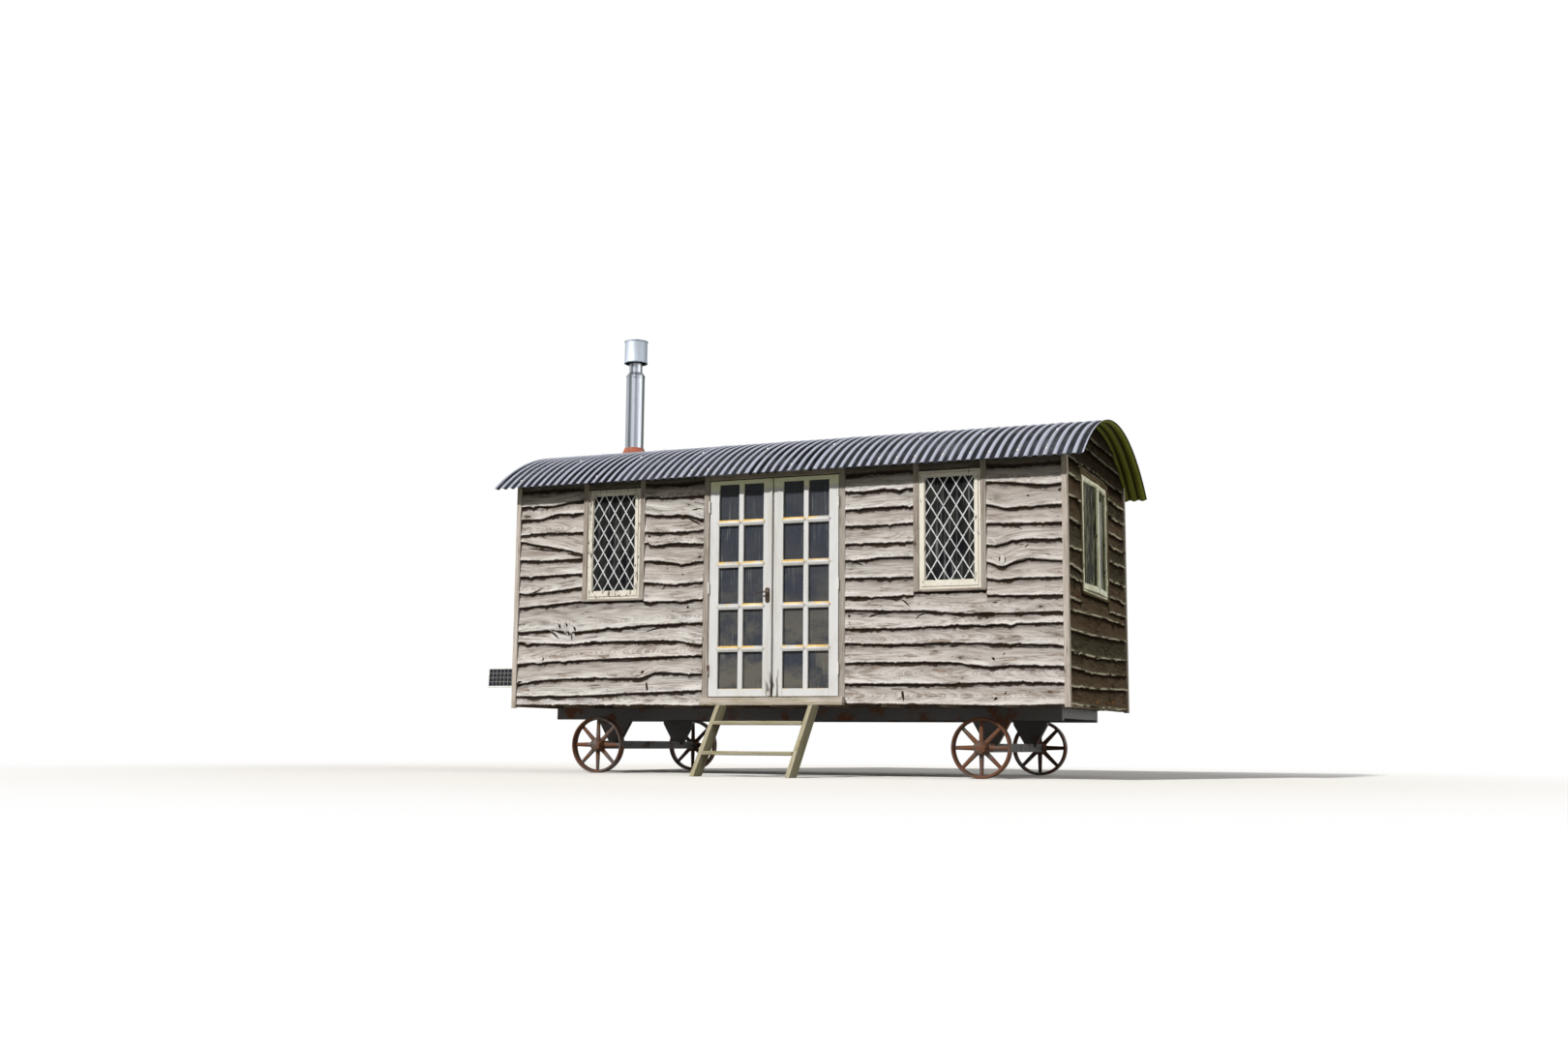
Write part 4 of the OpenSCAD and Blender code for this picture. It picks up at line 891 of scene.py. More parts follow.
board_rows = [0.010 + 0.148 * i for i in range(16)]
form = new_boards()
side_by_side(form, post_end, gable_end, level_edges(board_rows[::-1], post_end, gable_end, 11), ridge_lap, 241.0,
             0.005, 0.004, gable_top, 0.014)
on_wall(form, "left", "left_gable_boards", waney_boards, "left_cladding")

form = new_boards()
back_rows = level_edges([z for z in board_rows[::-1] if z < long_top - 0.06], post_end, far_post, 13)
side_by_side(form, post_end, far_post, back_rows, eave_lap, 271.0, 0.005, step=0.014)
on_wall(form, "back", "back_boards", waney_boards, "back_cladding")


# Corner posts: each an angle of two sawn boards, nailed round the corner of the wall frame from foot to eave.
# The same weathered timber with an upright grain.
post_drop = 0.008
trim_pale, trim_brown = (0.67, 0.63, 0.58), (0.33, 0.285, 0.245)
trim_timber = weathered_wood("trim_timber", trim_pale, trim_brown, umber, stain=0.25, green=0.25)


def timber(form, low, high, seed, arris=0.0025, wobble=0.0006):
    """Adds one sawn timber between two corners, with worn arrises and its grain along its longest side."""
    grain = form.verts.layers.float_vector["grain"]
    low, high = Vector(low), Vector(high)
    size = high - low
    along = max(range(3), key=lambda i: size[i])
    u, v = [i for i in range(3) if i != along]
    middle = (low + high) / 2
    count = max(1, round(size[along] / 0.09))
    stops = [(low[along], arris), (low[along] + arris, 0)]
    stops += [(low[along] + size[along] * i / count, 0) for i in range(1, count)]
    stops += [(high[along] - arris, 0), (high[along], arris)]
    rings = []
    for at, inset in stops:
        a, b = size[u] / 2 - inset, size[v] / 2 - inset
        bend = [wobble * noise((at * 2.3, seed * 4.1, axis)) for axis in (0.5, 9.5)]
        ring = []
        for p, q in ((a - arris, -b), (a, arris - b), (a, b - arris), (a - arris, b),
                     (arris - a, b), (-a, b - arris), (-a, arris - b), (arris - a, -b)):
            point = Vector()
            point[along], point[u], point[v] = at, middle[u] + p + bend[0], middle[v] + q + bend[1]
            ring.append(point)
        rings.append(ring)
    for vertex in lofted(form, rings):
        vertex[grain] = (vertex.co[along] + seed * 1.93, vertex.co[u] + seed * 0.37, vertex.co[v] + seed * 0.11)


form = new_timbers()
for number, (x, y) in enumerate(((0, 0), (1, 0), (0, 1), (1, 1))):
    x0, x1 = (0, post_w) if x == 0 else (hut_l - post_w, hut_l)
    y0, y1 = (0, clad_t - end_gap) if y == 0 else (hut_w - clad_t + end_gap, hut_w)
    timber(form, (x0, y0, -post_drop), (x1, y1, long_top), 3.0 + number)
    x0, x1 = (0, clad_t - end_gap) if x == 0 else (hut_l - clad_t + end_gap, hut_l)
    y0, y1 = (clad_t, post_w) if y == 0 else (hut_w - post_w, hut_w - clad_t)
    timber(form, (x0, y0, -post_drop), (x1, y1, long_top), 8.0 + number)
piece("corner_post_boards", form, trim_timber, ["corner_posts"])


# Window surrounds: two battens beside each window and a sill below it, and a head batten over the gable window.
# Sawn boards, as proud as the boarding; the sills are thin, stand out a little and have a worn front edge.
trim_out, sill_out = 0.026, 0.006
trim_face = clad_t - trim_out
form = new_timbers()
for number, x in enumerate((window_l, window_r)):
    for side, x0 in ((0.0, x - post_w), (0.5, x + window_w)):
        timber(form, (x0, trim_face, window_foot - 0.001), (x0 + post_w, clad_t, long_top), 13.0 + number + side)
    timber(form, (x - post_w, -sill_out, window_foot - sill_h), (x + window_w + post_w, clad_t, window_foot),
           15.0 + number, 0.003)
batten_timber = weathered_wood("batten_timber", (0.46, 0.43, 0.39), (0.22, 0.19, 0.165), umber, stain=0.2, green=0.15)
piece("window_battens_and_sills", form, batten_timber, ["window_trim"])
form = new_timbers()
y0, y1 = gable_window_y - post_w, gable_window_y + gable_window_w + post_w
inner, outer = hut_l - clad_t, hut_l - trim_face
for side, y in ((0.0, y0), (0.5, y1 - post_w)):
    timber(form, (inner, y, window_foot - 0.001), (outer, y + post_w, window_top), 17.0 + side)
timber(form, (inner, y0, window_top), (outer, y1, window_top + post_w), 18.0)
timber(form, (inner, y0, window_foot - sill_h), (hut_l + sill_out, y1, window_foot), 19.0, 0.003)
# A darker copy of the trim timber for the gable window's battens, whose colours are painted shade.
shaded_timber = weathered_wood("trim_timber_shaded", (0.15, 0.13, 0.08), (0.05, 0.04, 0.022), umber, stain=0.3,
                               green=0.3)
piece("gable_window_battens", form, shaded_timber)


# Door frame: two jambs, a head and the stops that the leaves close on, with a sill board below on the floor's edge.
# Weathered timber; the sill is paler, where feet and rain keep it clean.
door_face, leaf_foot, leaf_h, leaf_t = 0.012, 0.083, 1.810, 0.044
floor_top, head_z, frame_top = 0.075, 1.901, 1.935
wall_in, stop_w, stop_y = 0.095, 0.014, 0.062
door_end = door_l + door_w
form = new_timbers()
for side, x in ((0.0, door_l - jamb_w), (0.5, door_end)):
    timber(form, (x, door_face, floor_top + end_gap), (x + jamb_w, wall_in, frame_top), 23.0 + side)
timber(form, (door_l - jamb_w, door_face, head_z), (door_end + jamb_w, wall_in, frame_top), 24.0)
timber(form, (door_l - 0.001, stop_y, floor_top + end_gap), (door_l + stop_w, wall_in, head_z), 25.0, 0.0015)
timber(form, (door_end - stop_w, stop_y, floor_top + end_gap), (door_end + 0.001, wall_in, head_z), 26.0, 0.0015)
timber(form, (door_l, stop_y, head_z - 0.022), (door_end, wall_in, head_z + 0.001), 27.0, 0.0015)
piece("door_frame_timbers", form, batten_timber, ["door_frame"])

door_sill_h, door_sill_out = 0.065, 0.042
sill_timber = weathered_wood("sill_timber", (0.62, 0.575, 0.51), trim_brown, umber, green=0.5)
form = new_timbers()
timber(form, (door_l - jamb_w, -door_sill_out, floor_top - door_sill_h),
       (door_end + jamb_w, clad_t - end_gap, floor_top), 29.0, 0.005)
piece("door_sill_board", form, sill_timber, ["door_sill"])

plate_top = roof_z + sqrt((valley_r - deck_t - seat_gap) ** 2 - (roof_mid - clad_t) ** 2) - 0.001
form = new_timbers()
timber(form, (door_l - jamb_w, door_face, frame_top + end_gap), (door_end + jamb_w, clad_t, long_top), 31.0)
timber(form, (door_l - jamb_w, clad_t, frame_top + end_gap), (door_end + jamb_w, wall_in, plate_top), 32.0)
piece("boards_over_door", form, trim_timber, ["front_wall_over_door"])


# Doors: a pair of glazed leaves, each two stiles, two rails, an upright bar and four level bars of moulded section,
# tenoned and painted white. The paint is worn to the wood at the feet, and yellow lichen grows on the level bars.
jamb_gap, meet_gap = 0.006, 0.011
leaf_w = (door_w - 2 * jamb_gap - meet_gap) / 2
stile_w, top_rail_h, low_rail_h = 0.083, 0.033, 0.066
upright_w, level_h, pane_rows = 0.044, 0.049, 5
pane_w = (leaf_w - 2 * stile_w - upright_w) / 2
pane_h = (leaf_h - top_rail_h - low_rail_h - (pane_rows - 1) * level_h) / pane_rows
door_white, worn_wood = (0.625, 0.632, 0.640), (0.085, 0.066, 0.050)
lichen_yellow, lichen_orange = (0.58, 0.39, 0.05), (0.50, 0.25, 0.025)
meeting_line, eave_shadow_heights = door_l + door_w / 2, (2.345, 2.395)


def aged_paint(name, paint, dirt, lichen=0.0, worn_at=None, worn_share=0.30):
    """Brushed paint on timber, grimed in streaks and patches; it flakes to the wood, and is greyed and grown with
    lichen where it faces up. With lichen, faces that look down take a greenish grey and the tops of the leaves under
    the eave a greenish tint, both painted shade.
    """
    finish, tree, shader = new_finish(name)
    place = object_place(tree)
    apart = apart_of(place)
    cloud = mottle(place, (5, 5, 2.2), 6, 0.6)
    drips = mottle(place, (60, 60, 3.0), 3)
    fine = mottle(place, 260, 2)
    colour = mixed(faded(cloud, 0.45, 0.75, 0.0, 0.45), paint, dirt)
    colour = mixed(faded(drips, 0.55, 0.8, 0.0, 0.5), colour, dirt)
    flakes = mottle(place, (38, 38, 14), 5, 0.7)
    bare = faded(flakes, 1.0 - worn_share, 1.03 - worn_share)
    if worn_at is not None:
        from_line = abs(apart[0] - worn_at)
        colour = mixed(faded(from_line, 0.02, 0.11, 1, 0) * faded(drips, 0.3, 0.7, 0.15, 0.75), colour, dirt)
        close = faded(from_line, 0.035, 0.085, 1, 0) * faded(apart[2], 0.66, 1.0, 1, 0)
        bare = maths("MAXIMUM", bare, close * faded(mottle(place, (30, 30, 7), 4), 0.50, 0.56))
    colour = mixed(bare, colour, worn_wood)
    if lichen:
        up = apart_of(node(tree, "ShaderNodeNewGeometry")["True Normal"])[2]
        growth = mottle(place, (7, 7, 3.1), 5, 0.65)
        colour = mixed(faded(up, 0.20, 0.45, 0, 0.85), colour, (0.30, 0.295, 0.265))
        crust = mottle(place, 80, 3)
        grown_over = faded(up, 0.25, 0.42) * faded(growth + crust * 0.18, 0.545, 0.615, 0, lichen)
        yellow = mixed(faded(crust, 0.45, 0.62), lichen_yellow, lichen_orange)
        colour = mixed(grown_over, colour, yellow)
        # Painted shade: faces that look down turn greenish grey.
        under = faded(up, -0.6, -0.3, 0.55, 0) * faded(growth, 0.35, 0.6)
        colour = mixed(under, colour, (0.36, 0.365, 0.28))
        # Painted shade: the tops of the leaves under the eave take a greenish tint.
        colour = mixed(faded(apart[2], *eave_shadow_heights) * 0.90, colour, (0.84, 0.87, 0.60))
    height = fine * 0.25 - bare
    surface(shader, colour, faded(cloud, 0.3, 0.7, 0.38, 0.6), height, 0.0008)
    return finish


def level_bar(form, x0, x1, foot, height):
    """Moulded half of a level bar between two points, standing proud of the leaf's face like a hipped roof."""
    middle, taper, proud, flat = foot + height / 2, 0.020, 0.010, 0.007
    outline = [(x0, 0), (x0 + taper, 0.5), (x1 - taper, 0.5), (x1, 0), (x1 - taper, -0.5), (x0 + taper, -0.5)]
    ridge = [(x0 + 0.017, 0), (x0 + taper + 0.004, 1), (x1 - taper - 0.004, 1),
             (x1 - 0.017, 0), (x1 - taper - 0.004, -1), (x0 + taper + 0.004, -1)]
    back = [(x, door_face + 0.018, middle + side * height) for x, side in outline]
    face = [(x, door_face - 0.0006, middle + side * height) for x, side in outline]
    front = [(x, door_face - proud, middle + side * flat) for x, side in ridge]
    lofted(form, [back, face, front])


def door_leaf(x):
    """One leaf with its lower left corner at x."""
    form = new_timbers()
    y0, y1 = door_face, door_face + leaf_t
    leaf_top = leaf_foot + leaf_h

    def bar(x0, x1, front, foot, top, seed, arris=0.002, wobble=0.0002):
        timber(form, (x0, y0 + front, foot), (x1, y1, top), seed, arris, wobble)

    for left in (x, x + leaf_w - stile_w):
        bar(left, left + stile_w, 0, leaf_foot, leaf_top, left, wobble=0.0003)
    left, right = x + stile_w - 0.001, x + leaf_w - stile_w + 0.001
    bar(left, right, 0.0004, leaf_foot, leaf_foot + low_rail_h, 2.0, 0.003)
    bar(left, right, 0.0004, leaf_top - top_rail_h, leaf_top, 3.0)
    upright = x + stile_w + pane_w
    bar(upright, upright + upright_w, 0.0008, leaf_foot + 0.01, leaf_top - 0.01, 4.0, 0.004)
    middle = upright + upright_w / 2
    for row in range(1, pane_rows):
        foot = leaf_foot + low_rail_h + row * (pane_h + level_h) - level_h
        bar(left, right, 0.001, foot, foot + level_h, 4.0 + row)
        level_bar(form, x + stile_w - 0.020, middle + 0.002, foot, level_h)
        level_bar(form, middle - 0.002, x + leaf_w - stile_w + 0.020, foot, level_h)
    return form


white_paint = aged_paint("white_paint", door_white, (0.46, 0.45, 0.40), 0.95, meeting_line + hut_corner.x, 0.265)
left_leaf_x, right_leaf_x = door_l + jamb_gap, door_end - jamb_gap - leaf_w
form = door_leaf(left_leaf_x)
meeting_edge = left_leaf_x + leaf_w
timber(form, (meeting_edge - 0.019, door_face - 0.006, leaf_foot + 0.004),
       (meeting_edge - 0.003, door_face + 0.004, leaf_foot + leaf_h - 0.004), 9.0, 0.003, 0.0002)
piece("left_door_leaf", form, white_paint, ["left_door"], body="left_leaf")
piece("right_door_leaf", door_leaf(right_leaf_x), white_paint, ["right_door"], body="right_leaf")


# Door glass: four millimetre panes in rebates, dusty, with the tracks of old condensation running down them.
# The CAD panes keep their shape. The glass's dark colour is painted shade that stands in for the dim inside, a little
# of the inside shows through, and soft paler patches low on the door panes are painted reflection.
def old_glass(name, tint, clear, wave=0.0, ior=1.5, sheen=(1, 1, 1), low_reflection=(0.018, 0.019, 0.018)):
    """Dirty old glass whose dark tint is painted shade for the dim inside. Paler ripples where wave is given, paler
    patches low on the panes and, on the panes of the gable furthest along X, olive and dark streaks with a green cast
    are painted reflection.
    """
    finish, tree, shader = new_finish(name)
    place = object_place(tree)
    runs = mottle(place, (55, 55, 2.6), 4, 0.6)
    haze = mottle(place, (4, 4, 3), 4)
    ripple = mottle(place, (9, 9, 3.2), 2)
    dirty = faded(runs, 0.52, 0.74) * faded(haze, 0.40, 0.62)
    # Painted reflection: paler ripples over the tint, with dust over both.
    colour = mixed(dirty, mixed(faded(ripple, 0.35, 0.7, 0, wave), tint, (0.105, 0.115, 0.085)), (0.20, 0.21, 0.21))
    apart = apart_of(place)
    # Painted reflection: soft paler patches towards the bottom of the panes.
    low = faded(apart[2], 1.0, 1.9, 0.8, 0.1)
    cloudy = mottle(place, (3, 3, 5), 4, 0.6)
    colour = mixed(low * faded(cloudy, 0.38, 0.62), colour, low_reflection)
    # Painted reflection: olive and dark streaks on the gable's panes.
    wavy = faded(mottle(place, (30, 30, 5.5), 3, 0.6), 0.47, 0.60)
    in_gable = faded(apart[0], gable_glass_from, gable_glass_from + 0.02)
    colour = mixed(in_gable, colour, mixed(wavy, (0.010, 0.012, 0.003), (0.150, 0.155, 0.085)))
    surface(shader, colour, faded(dirty, 0, 1, 0.06, 0.35), ripple, 0.004, {
        "Alpha": faded(dirty, 0, 1, clear, 0.95), "Specular IOR Level": 0.07, "IOR": ior, "Specular Tint": sheen})
    return finish


gable_glass_from = hut_corner.x + hut_l - 0.12
door_glass = old_glass("door_glass", (0.046, 0.053, 0.070), 0.86, low_reflection=(0.160, 0.150, 0.125))
window_glass = old_glass("window_glass", (0.009, 0.009, 0.012), 0.94, 0.20, 1.13, (0.96, 1.0, 0.84))
dress("left_door_glass", door_glass)
dress("right_door_glass", door_glass)
dress("window_glass", window_glass)


# Hinges: three steel butts to each leaf, let in flush so that only the knuckles and the pins' round ends show.
# The jamb carries the outer knuckles and the leaf the middle one, brushed over with the door's paint and rusting.
knuckle_r, knuckle_l, hinge_inset = 0.008, 0.030, 0.220
hinge_y = door_face - 0.0095
hinge_heights = [leaf_foot + hinge_inset, leaf_foot + leaf_h / 2, leaf_foot + leaf_h - hinge_inset]
hinge_paint = rusting_metal("hinge_paint", (0.55, 0.545, 0.52), 0.62)


def knuckle(form, x, foot, height, tab):
    """One knuckle round its pin from foot up, with the edge of its flap going back into the joint towards tab."""
    barrel = bmesh.new()
    turned(barrel, [(0.0041, foot), (knuckle_r - 0.001, foot), (knuckle_r, foot + 0.001),
                    (knuckle_r, foot + height - 0.001), (knuckle_r - 0.001, foot + height), (0.0041, foot + height)],
           24, closed=True)
    joined(form, barrel, Matrix.Translation((x, hinge_y, 0)))
    x0, x1 = sorted((x + 0.001 * tab, x + 0.0026 * tab))
    timber(form, (x0, hinge_y + 0.005, foot), (x1, door_face + 0.024, foot + height), 1.0, 0.0003, 0)


form = new_timbers()
for x, tab in ((door_l + jamb_gap / 2, -1), (door_end - jamb_gap / 2, 1)):
    for z in hinge_heights:
        for end in (-1.5, 0.5):
            knuckle(form, x, z + end * knuckle_l, knuckle_l, tab)
        pin = bmesh.new()
        reach = 1.5 * knuckle_l
        turned(pin, [(0, -reach - 0.006), (0.004, -reach - 0.005), (0.006, -reach - 0.002), (0.004, -reach),
                     (0.004, reach), (0.006, reach + 0.002), (0.004, reach + 0.005), (0, reach + 0.006)], 20)
        joined(form, pin, Matrix.Translation((x, hinge_y, z)))
piece("frame_hinge_knuckles", form, hinge_paint, ["frame_hinges"], 35)
for side, x, tab in (("left", door_l + jamb_gap / 2, 1), ("right", door_end - jamb_gap / 2, -1)):
    form = new_timbers()
    for z in hinge_heights:
        knuckle(form, x, z - knuckle_l / 2 + 0.0005, knuckle_l - 0.001, tab)
    piece(f"{side}_door_hinge_knuckles", form, hinge_paint, [f"{side}_door_knuckles"], 35,
          body=f"{side}_leaf")


# Lever: a cast bronze plate with round ends and a thin curved handle on a round neck, gone nearly black.
# The plate is screwed to the left leaf's meeting stile; the handle droops a little towards its tip.
lever_x, lever_z = meeting_edge - stile_w / 2, leaf_foot + 0.857
plate_w, plate_h, plate_t, plate_below = 0.040, 0.128, 0.006, 0.023
lever_reach, lever_stand = 0.112, 0.034


def dark_metal(name, colour, worn):
    """Cast metal that hands have polished on its edges."""
    finish, tree, shader = new_finish(name)
    place = object_place(tree)
    cloud = mottle(place, 60, 5)
    edge = node(tree, "ShaderNodeNewGeometry")["Pointiness"]
    share = maths("MAXIMUM", faded(edge, 0.52, 0.60), faded(cloud, 0.62, 0.8))
    surface(shader, mixed(share, colour, worn), faded(cloud, 0.3, 0.7, 0.32, 0.55), cloud, 0.0004, {"Metallic": 0.85})
    return finish


dark_bronze = dark_metal("dark_bronze", (0.034, 0.024, 0.017), (0.17, 0.125, 0.09))
plate_steps = 12
outline = []
for side in (1, -1):
    turns = [pi * i / plate_steps for i in range(plate_steps + 1)]
    outline += [(side * cos(t) * plate_w / 2, side * (sin(t) * plate_w / 2 + (plate_h - plate_w) / 2))
                for t in turns]
form = bmesh.new()
rings = []
for depth, share in ((0.0, 1.0), (plate_t - 0.002, 1.0), (plate_t - 0.0006, 0.965), (plate_t, 0.90)):
    rings.append([(lever_x + x * share, door_face - depth,
                   lever_z - plate_below + z * (1 - (1 - share) * plate_w / plate_h)) for x, z in outline])
lofted(form, rings)
to_front = turn_about("X", 90)
collar = bmesh.new()
turned(collar, [(0.0092, 0), (0.014, 0), (0.014, 0.008), (0.0125, 0.0105), (0.0092, 0.0118)], 40, closed=True)
joined(form, collar, to_front, Matrix.Translation((lever_x, door_face, lever_z)))
for z in (0.050, -0.050):
    screw = bmesh.new()
    turned(screw, [(0, 0), (0.0042, 0), (0.0042, 0.0012), (0.003, 0.0021), (0, 0.0024)], 20)
    joined(form, screw, to_front, Matrix.Translation((lever_x, door_face - plate_t, lever_z - plate_below + z)))
piece("bronze_plate", form, dark_bronze, ["lever_plate"], 35, body="left_leaf")

form = bmesh.new()
neck_foot = door_face - 0.0057
stand = lever_stand + plate_t
path = [((0, -t * stand + (neck_foot - door_face) * (1 - t), 0), 0.0078) for t in (0.0, 0.4, 0.7, 0.86)]
path += [((-0.003, -stand + 0.0012, 0), 0.0080), ((-0.010, -stand, 0.0), 0.0078)]
for i in range(1, 9):
    t = i / 8
    reach = 0.010 + t * (lever_reach - 0.020)
    path.append(((-reach, -stand + 0.002 * sin(pi * t), 0.004 * sin(pi * t) - 0.013 * t * t),
                 0.0076 - 0.0034 * t))
path.append(((-lever_reach + 0.004, -stand + 0.001, -0.0155), 0.0022))
points = [Vector(point) for point, radius in path]
rings = []
for i, (point, radius) in enumerate(path):
    ahead = (points[min(i + 1, len(points) - 1)] - points[max(i - 1, 0)]).normalized()
    up = Vector((0, 0, 1))
    out = ahead.cross(up).normalized()
    ring = []
    for step in range(16):
        t = 2 * pi * step / 16
        ring.append(points[i] + Vector((lever_x, door_face, lever_z)) + radius
                    * (cos(t) * out + sin(t) * up))
    rings.append(ring)
lofted(form, rings)
piece("bronze_lever", form, dark_bronze, ["door_lever"], 45, body="lever")


# Front windows: a fixed frame in the wall and one casement in it, with a deep bottom rail, painted cream.
# The paint has flaked. Diamond leaded lights fill the casements: lead cames soldered where they cross.
fixed_w, casement_w, casement_low_h, casement_t = 0.020, 0.027, 0.044, 0.038
window_h, casement_proud, casement_gap = window_top - window_foot, 0.006, 0.002
came_r, diamond_w, diamond_h = 0.0052, 0.106, 0.171
cream_paint = aged_paint("cream_paint", (0.71, 0.68, 0.595), (0.40, 0.36, 0.28), worn_share=0.385)
flaking_paint = aged_paint("cream_paint_flaking", (0.69, 0.655, 0.57), (0.36, 0.32, 0.25), worn_share=0.44)
# The gable window's paint: a greener copy of the cream whose colours are painted shade.
gable_shade_paint = aged_paint("cream_paint_gable", (0.80, 0.80, 0.60), (0.30, 0.30, 0.17), worn_share=0.42)


def framed(form, x0, z0, width, height, y0, y1, side, low, high, seed):
    """Four timbers round an opening, in a wall that faces -Y; the level ones run between the uprights."""
    x1, z1 = x0 + width, z0 + height
    inner, outer = x0 + side - 0.001, x1 - side + 0.001
    for low_corner, high_corner, salt in (
            ((x0, y0, z0), (x0 + side, y1, z1), 0), ((x1 - side, y0, z0), (x1, y1, z1), 0.2),
            ((inner, y0 + 0.0004, z0), (outer, y1, z0 + low), 0.4),
            ((inner, y0 + 0.0004, z1 - high), (outer, y1, z1), 0.6)):
        timber(form, low_corner, high_corner, seed + salt, 0.002, 0.0003)


def casement(form, x0, z0, width, height, y0, seed):
    """A casement with its glazing beads, which slope in to the pane."""
    framed(form, x0, z0, width, height, y0, y0 + casement_t, casement_w, casement_low_h, casement_w, seed)
    bead, inner_w = 0.007, width - 2 * casement_w
    framed(form, x0 + casement_w, z0 + casement_low_h, inner_w, height - casement_low_h - casement_w,
           y0 + 0.008, y0 + 0.017, bead, bead, bead, seed + 1)


def came_tree():
    """Lead cames: a half-round strip along every edge that comes in."""
    tree, given = new_tree("lead_cames", {"Radius": "Float"})
    lines = node(tree, "GeometryNodeMeshToCurve", {0: given["Geometry"]})
    section = node(tree, "GeometryNodeCurvePrimitiveCircle", {"Resolution": 8, "Radius": given["Radius"]})
    strips = {"Curve": lines, "Profile Curve": section, "Fill Caps": True}
    return coated(given, node(tree, "GeometryNodeCurveToMesh", strips))


cames = came_tree()
lead = clouded("lead", (40, 5), (0.35, 0.7), (0.74, 0.75, 0.76), (0.44, 0.45, 0.465), (0, 1, 0.5, 0.7), 0.0008,
               {"Metallic": 0.25})


def lattice(x0, z0, width, height, y):
    """Edges of the diamonds of a leaded light, cut to its pane."""
    lines = bmesh.new()
    slope = diamond_w / diamond_h
    reach = ceil((width + height * slope) / diamond_w) + 1
    for lean in (slope, -slope):
        for i in range(-reach, reach + 1):
            start = i * diamond_w + width / 2
            ends = sorted(((0 - start) / lean, (width - start) / lean))
            low, high = max(0.0, ends[0]), min(height, ends[1])
            if high - low > 0.004:
                a, b = [lines.verts.new((x0 + start + lean * z, y, z0 + z)) for z in (low, high)]
                lines.edges.new((a, b))
    corners = [(0, 0), (width, 0), (width, height), (0, height)]
    for a, b in zip(corners, corners[1:] + corners[:1]):
        lines.edges.new([lines.verts.new((x0 + x, y, z0 + z)) for x, z in (a, b)])
    mesh = bpy.data.meshes.new("lattice")
    lines.to_mesh(mesh)
    lines.free()
    return mesh


casement_face = door_face - casement_proud
for side, x, paint in (("left", window_l, flaking_paint), ("right", window_r, cream_paint)):
    form = new_timbers()
    framed(form, x, window_foot, window_w, window_h, door_face, wall_in, fixed_w, fixed_w, fixed_w, x)
    casement(form, x + fixed_w, window_foot + fixed_w, window_w - 2 * fixed_w, window_h - 2 * fixed_w, casement_face,
             x + 2)
    piece(f"{side}_window_frame_and_casement", form, paint, [f"{side}_window"])
    form = bmesh.new()
    pane_x, pane_z = x + fixed_w + casement_w, window_foot + fixed_w + casement_low_h
    pane = (window_w - 2 * fixed_w - 2 * casement_w, window_h - 2 * fixed_w - casement_low_h - casement_w)
    form.from_mesh(grown(cames, lattice(pane_x, pane_z, *pane, casement_face + 0.018),
                         {"Radius": came_r, "Finish": lead}))
    piece(f"{side}_window_lead_cames", form, lead, (), 40)


# Gable window: a wider fixed frame with two casements side by side, which stand open a crack on their outer hinges.
# A greener copy of the cream paint, whose colours are painted shade, and rippled glass whose olive streaks are
# painted reflection.
ajar, butt_in = radians(4), 0.135
leaf_half_w = gable_window_w / 2 - fixed_w - 2.5 * casement_gap
gable_leaf_h = window_h - 2 * fixed_w - 2 * casement_gap
to_gable = Matrix.Translation((hut_l, gable_window_y, window_foot)) @ turn_about("Z", 90)
form = new_timbers()
framed(form, 0, 0, gable_window_w, window_h, door_face, wall_in, fixed_w, fixed_w, fixed_w, 41.0)
for side in (0, 1):
    leaf = new_timbers()
    casement(leaf, 0, 0, leaf_half_w, gable_leaf_h, 0, 43.0 + side)
    hang = (Matrix.Translation((fixed_w, door_face - casement_proud, fixed_w + casement_gap))
            @ Matrix.Rotation(-ajar, 4, "Z") @ Matrix.Translation((casement_gap, 0, 0)))
    if side:
        hang = Matrix.Translation((gable_window_w, 0, 0)) @ Matrix.Diagonal((-1, 1, 1, 1)) @ hang
    for z in (butt_in, gable_leaf_h - butt_in):
        barrel = bmesh.new()
        turned(barrel, [(0, -0.025), (0.006, -0.025), (0.007, -0.024), (0.007, 0.024), (0.006, 0.025), (0, 0.025)],
               20)
        joined(leaf, barrel, Matrix.Translation((-2 * casement_gap, 2 * casement_gap, z)))
    joined(form, leaf, hang)
moved(form, to_gable)
piece("gable_window_frame_and_casements", form, gable_shade_paint, ["gable_window"])


# Roof: nine galvanised sheets, corrugated and then curved to the hut, each lapping its left neighbour by half a wave.
# Weathered blue-grey on top and olive below, each banded light and dark across its waves as painted light and shade,
# and fixed through the crests with white-capped screws.
wave_p, sheet_waves, waves = 0.0762, 8, 69
last_sheet = waves // sheet_waves
over_left = 0.140
half_angle = asin(eave_half / valley_r)
lap_lift, lap_waves = sheet_t + seat_gap, 0.5
wave_steps, arc_steps = 12, 72
cap_r, cap_h = 0.0115, 0.008
flue_x, flue_clear = 0.552, 0.2


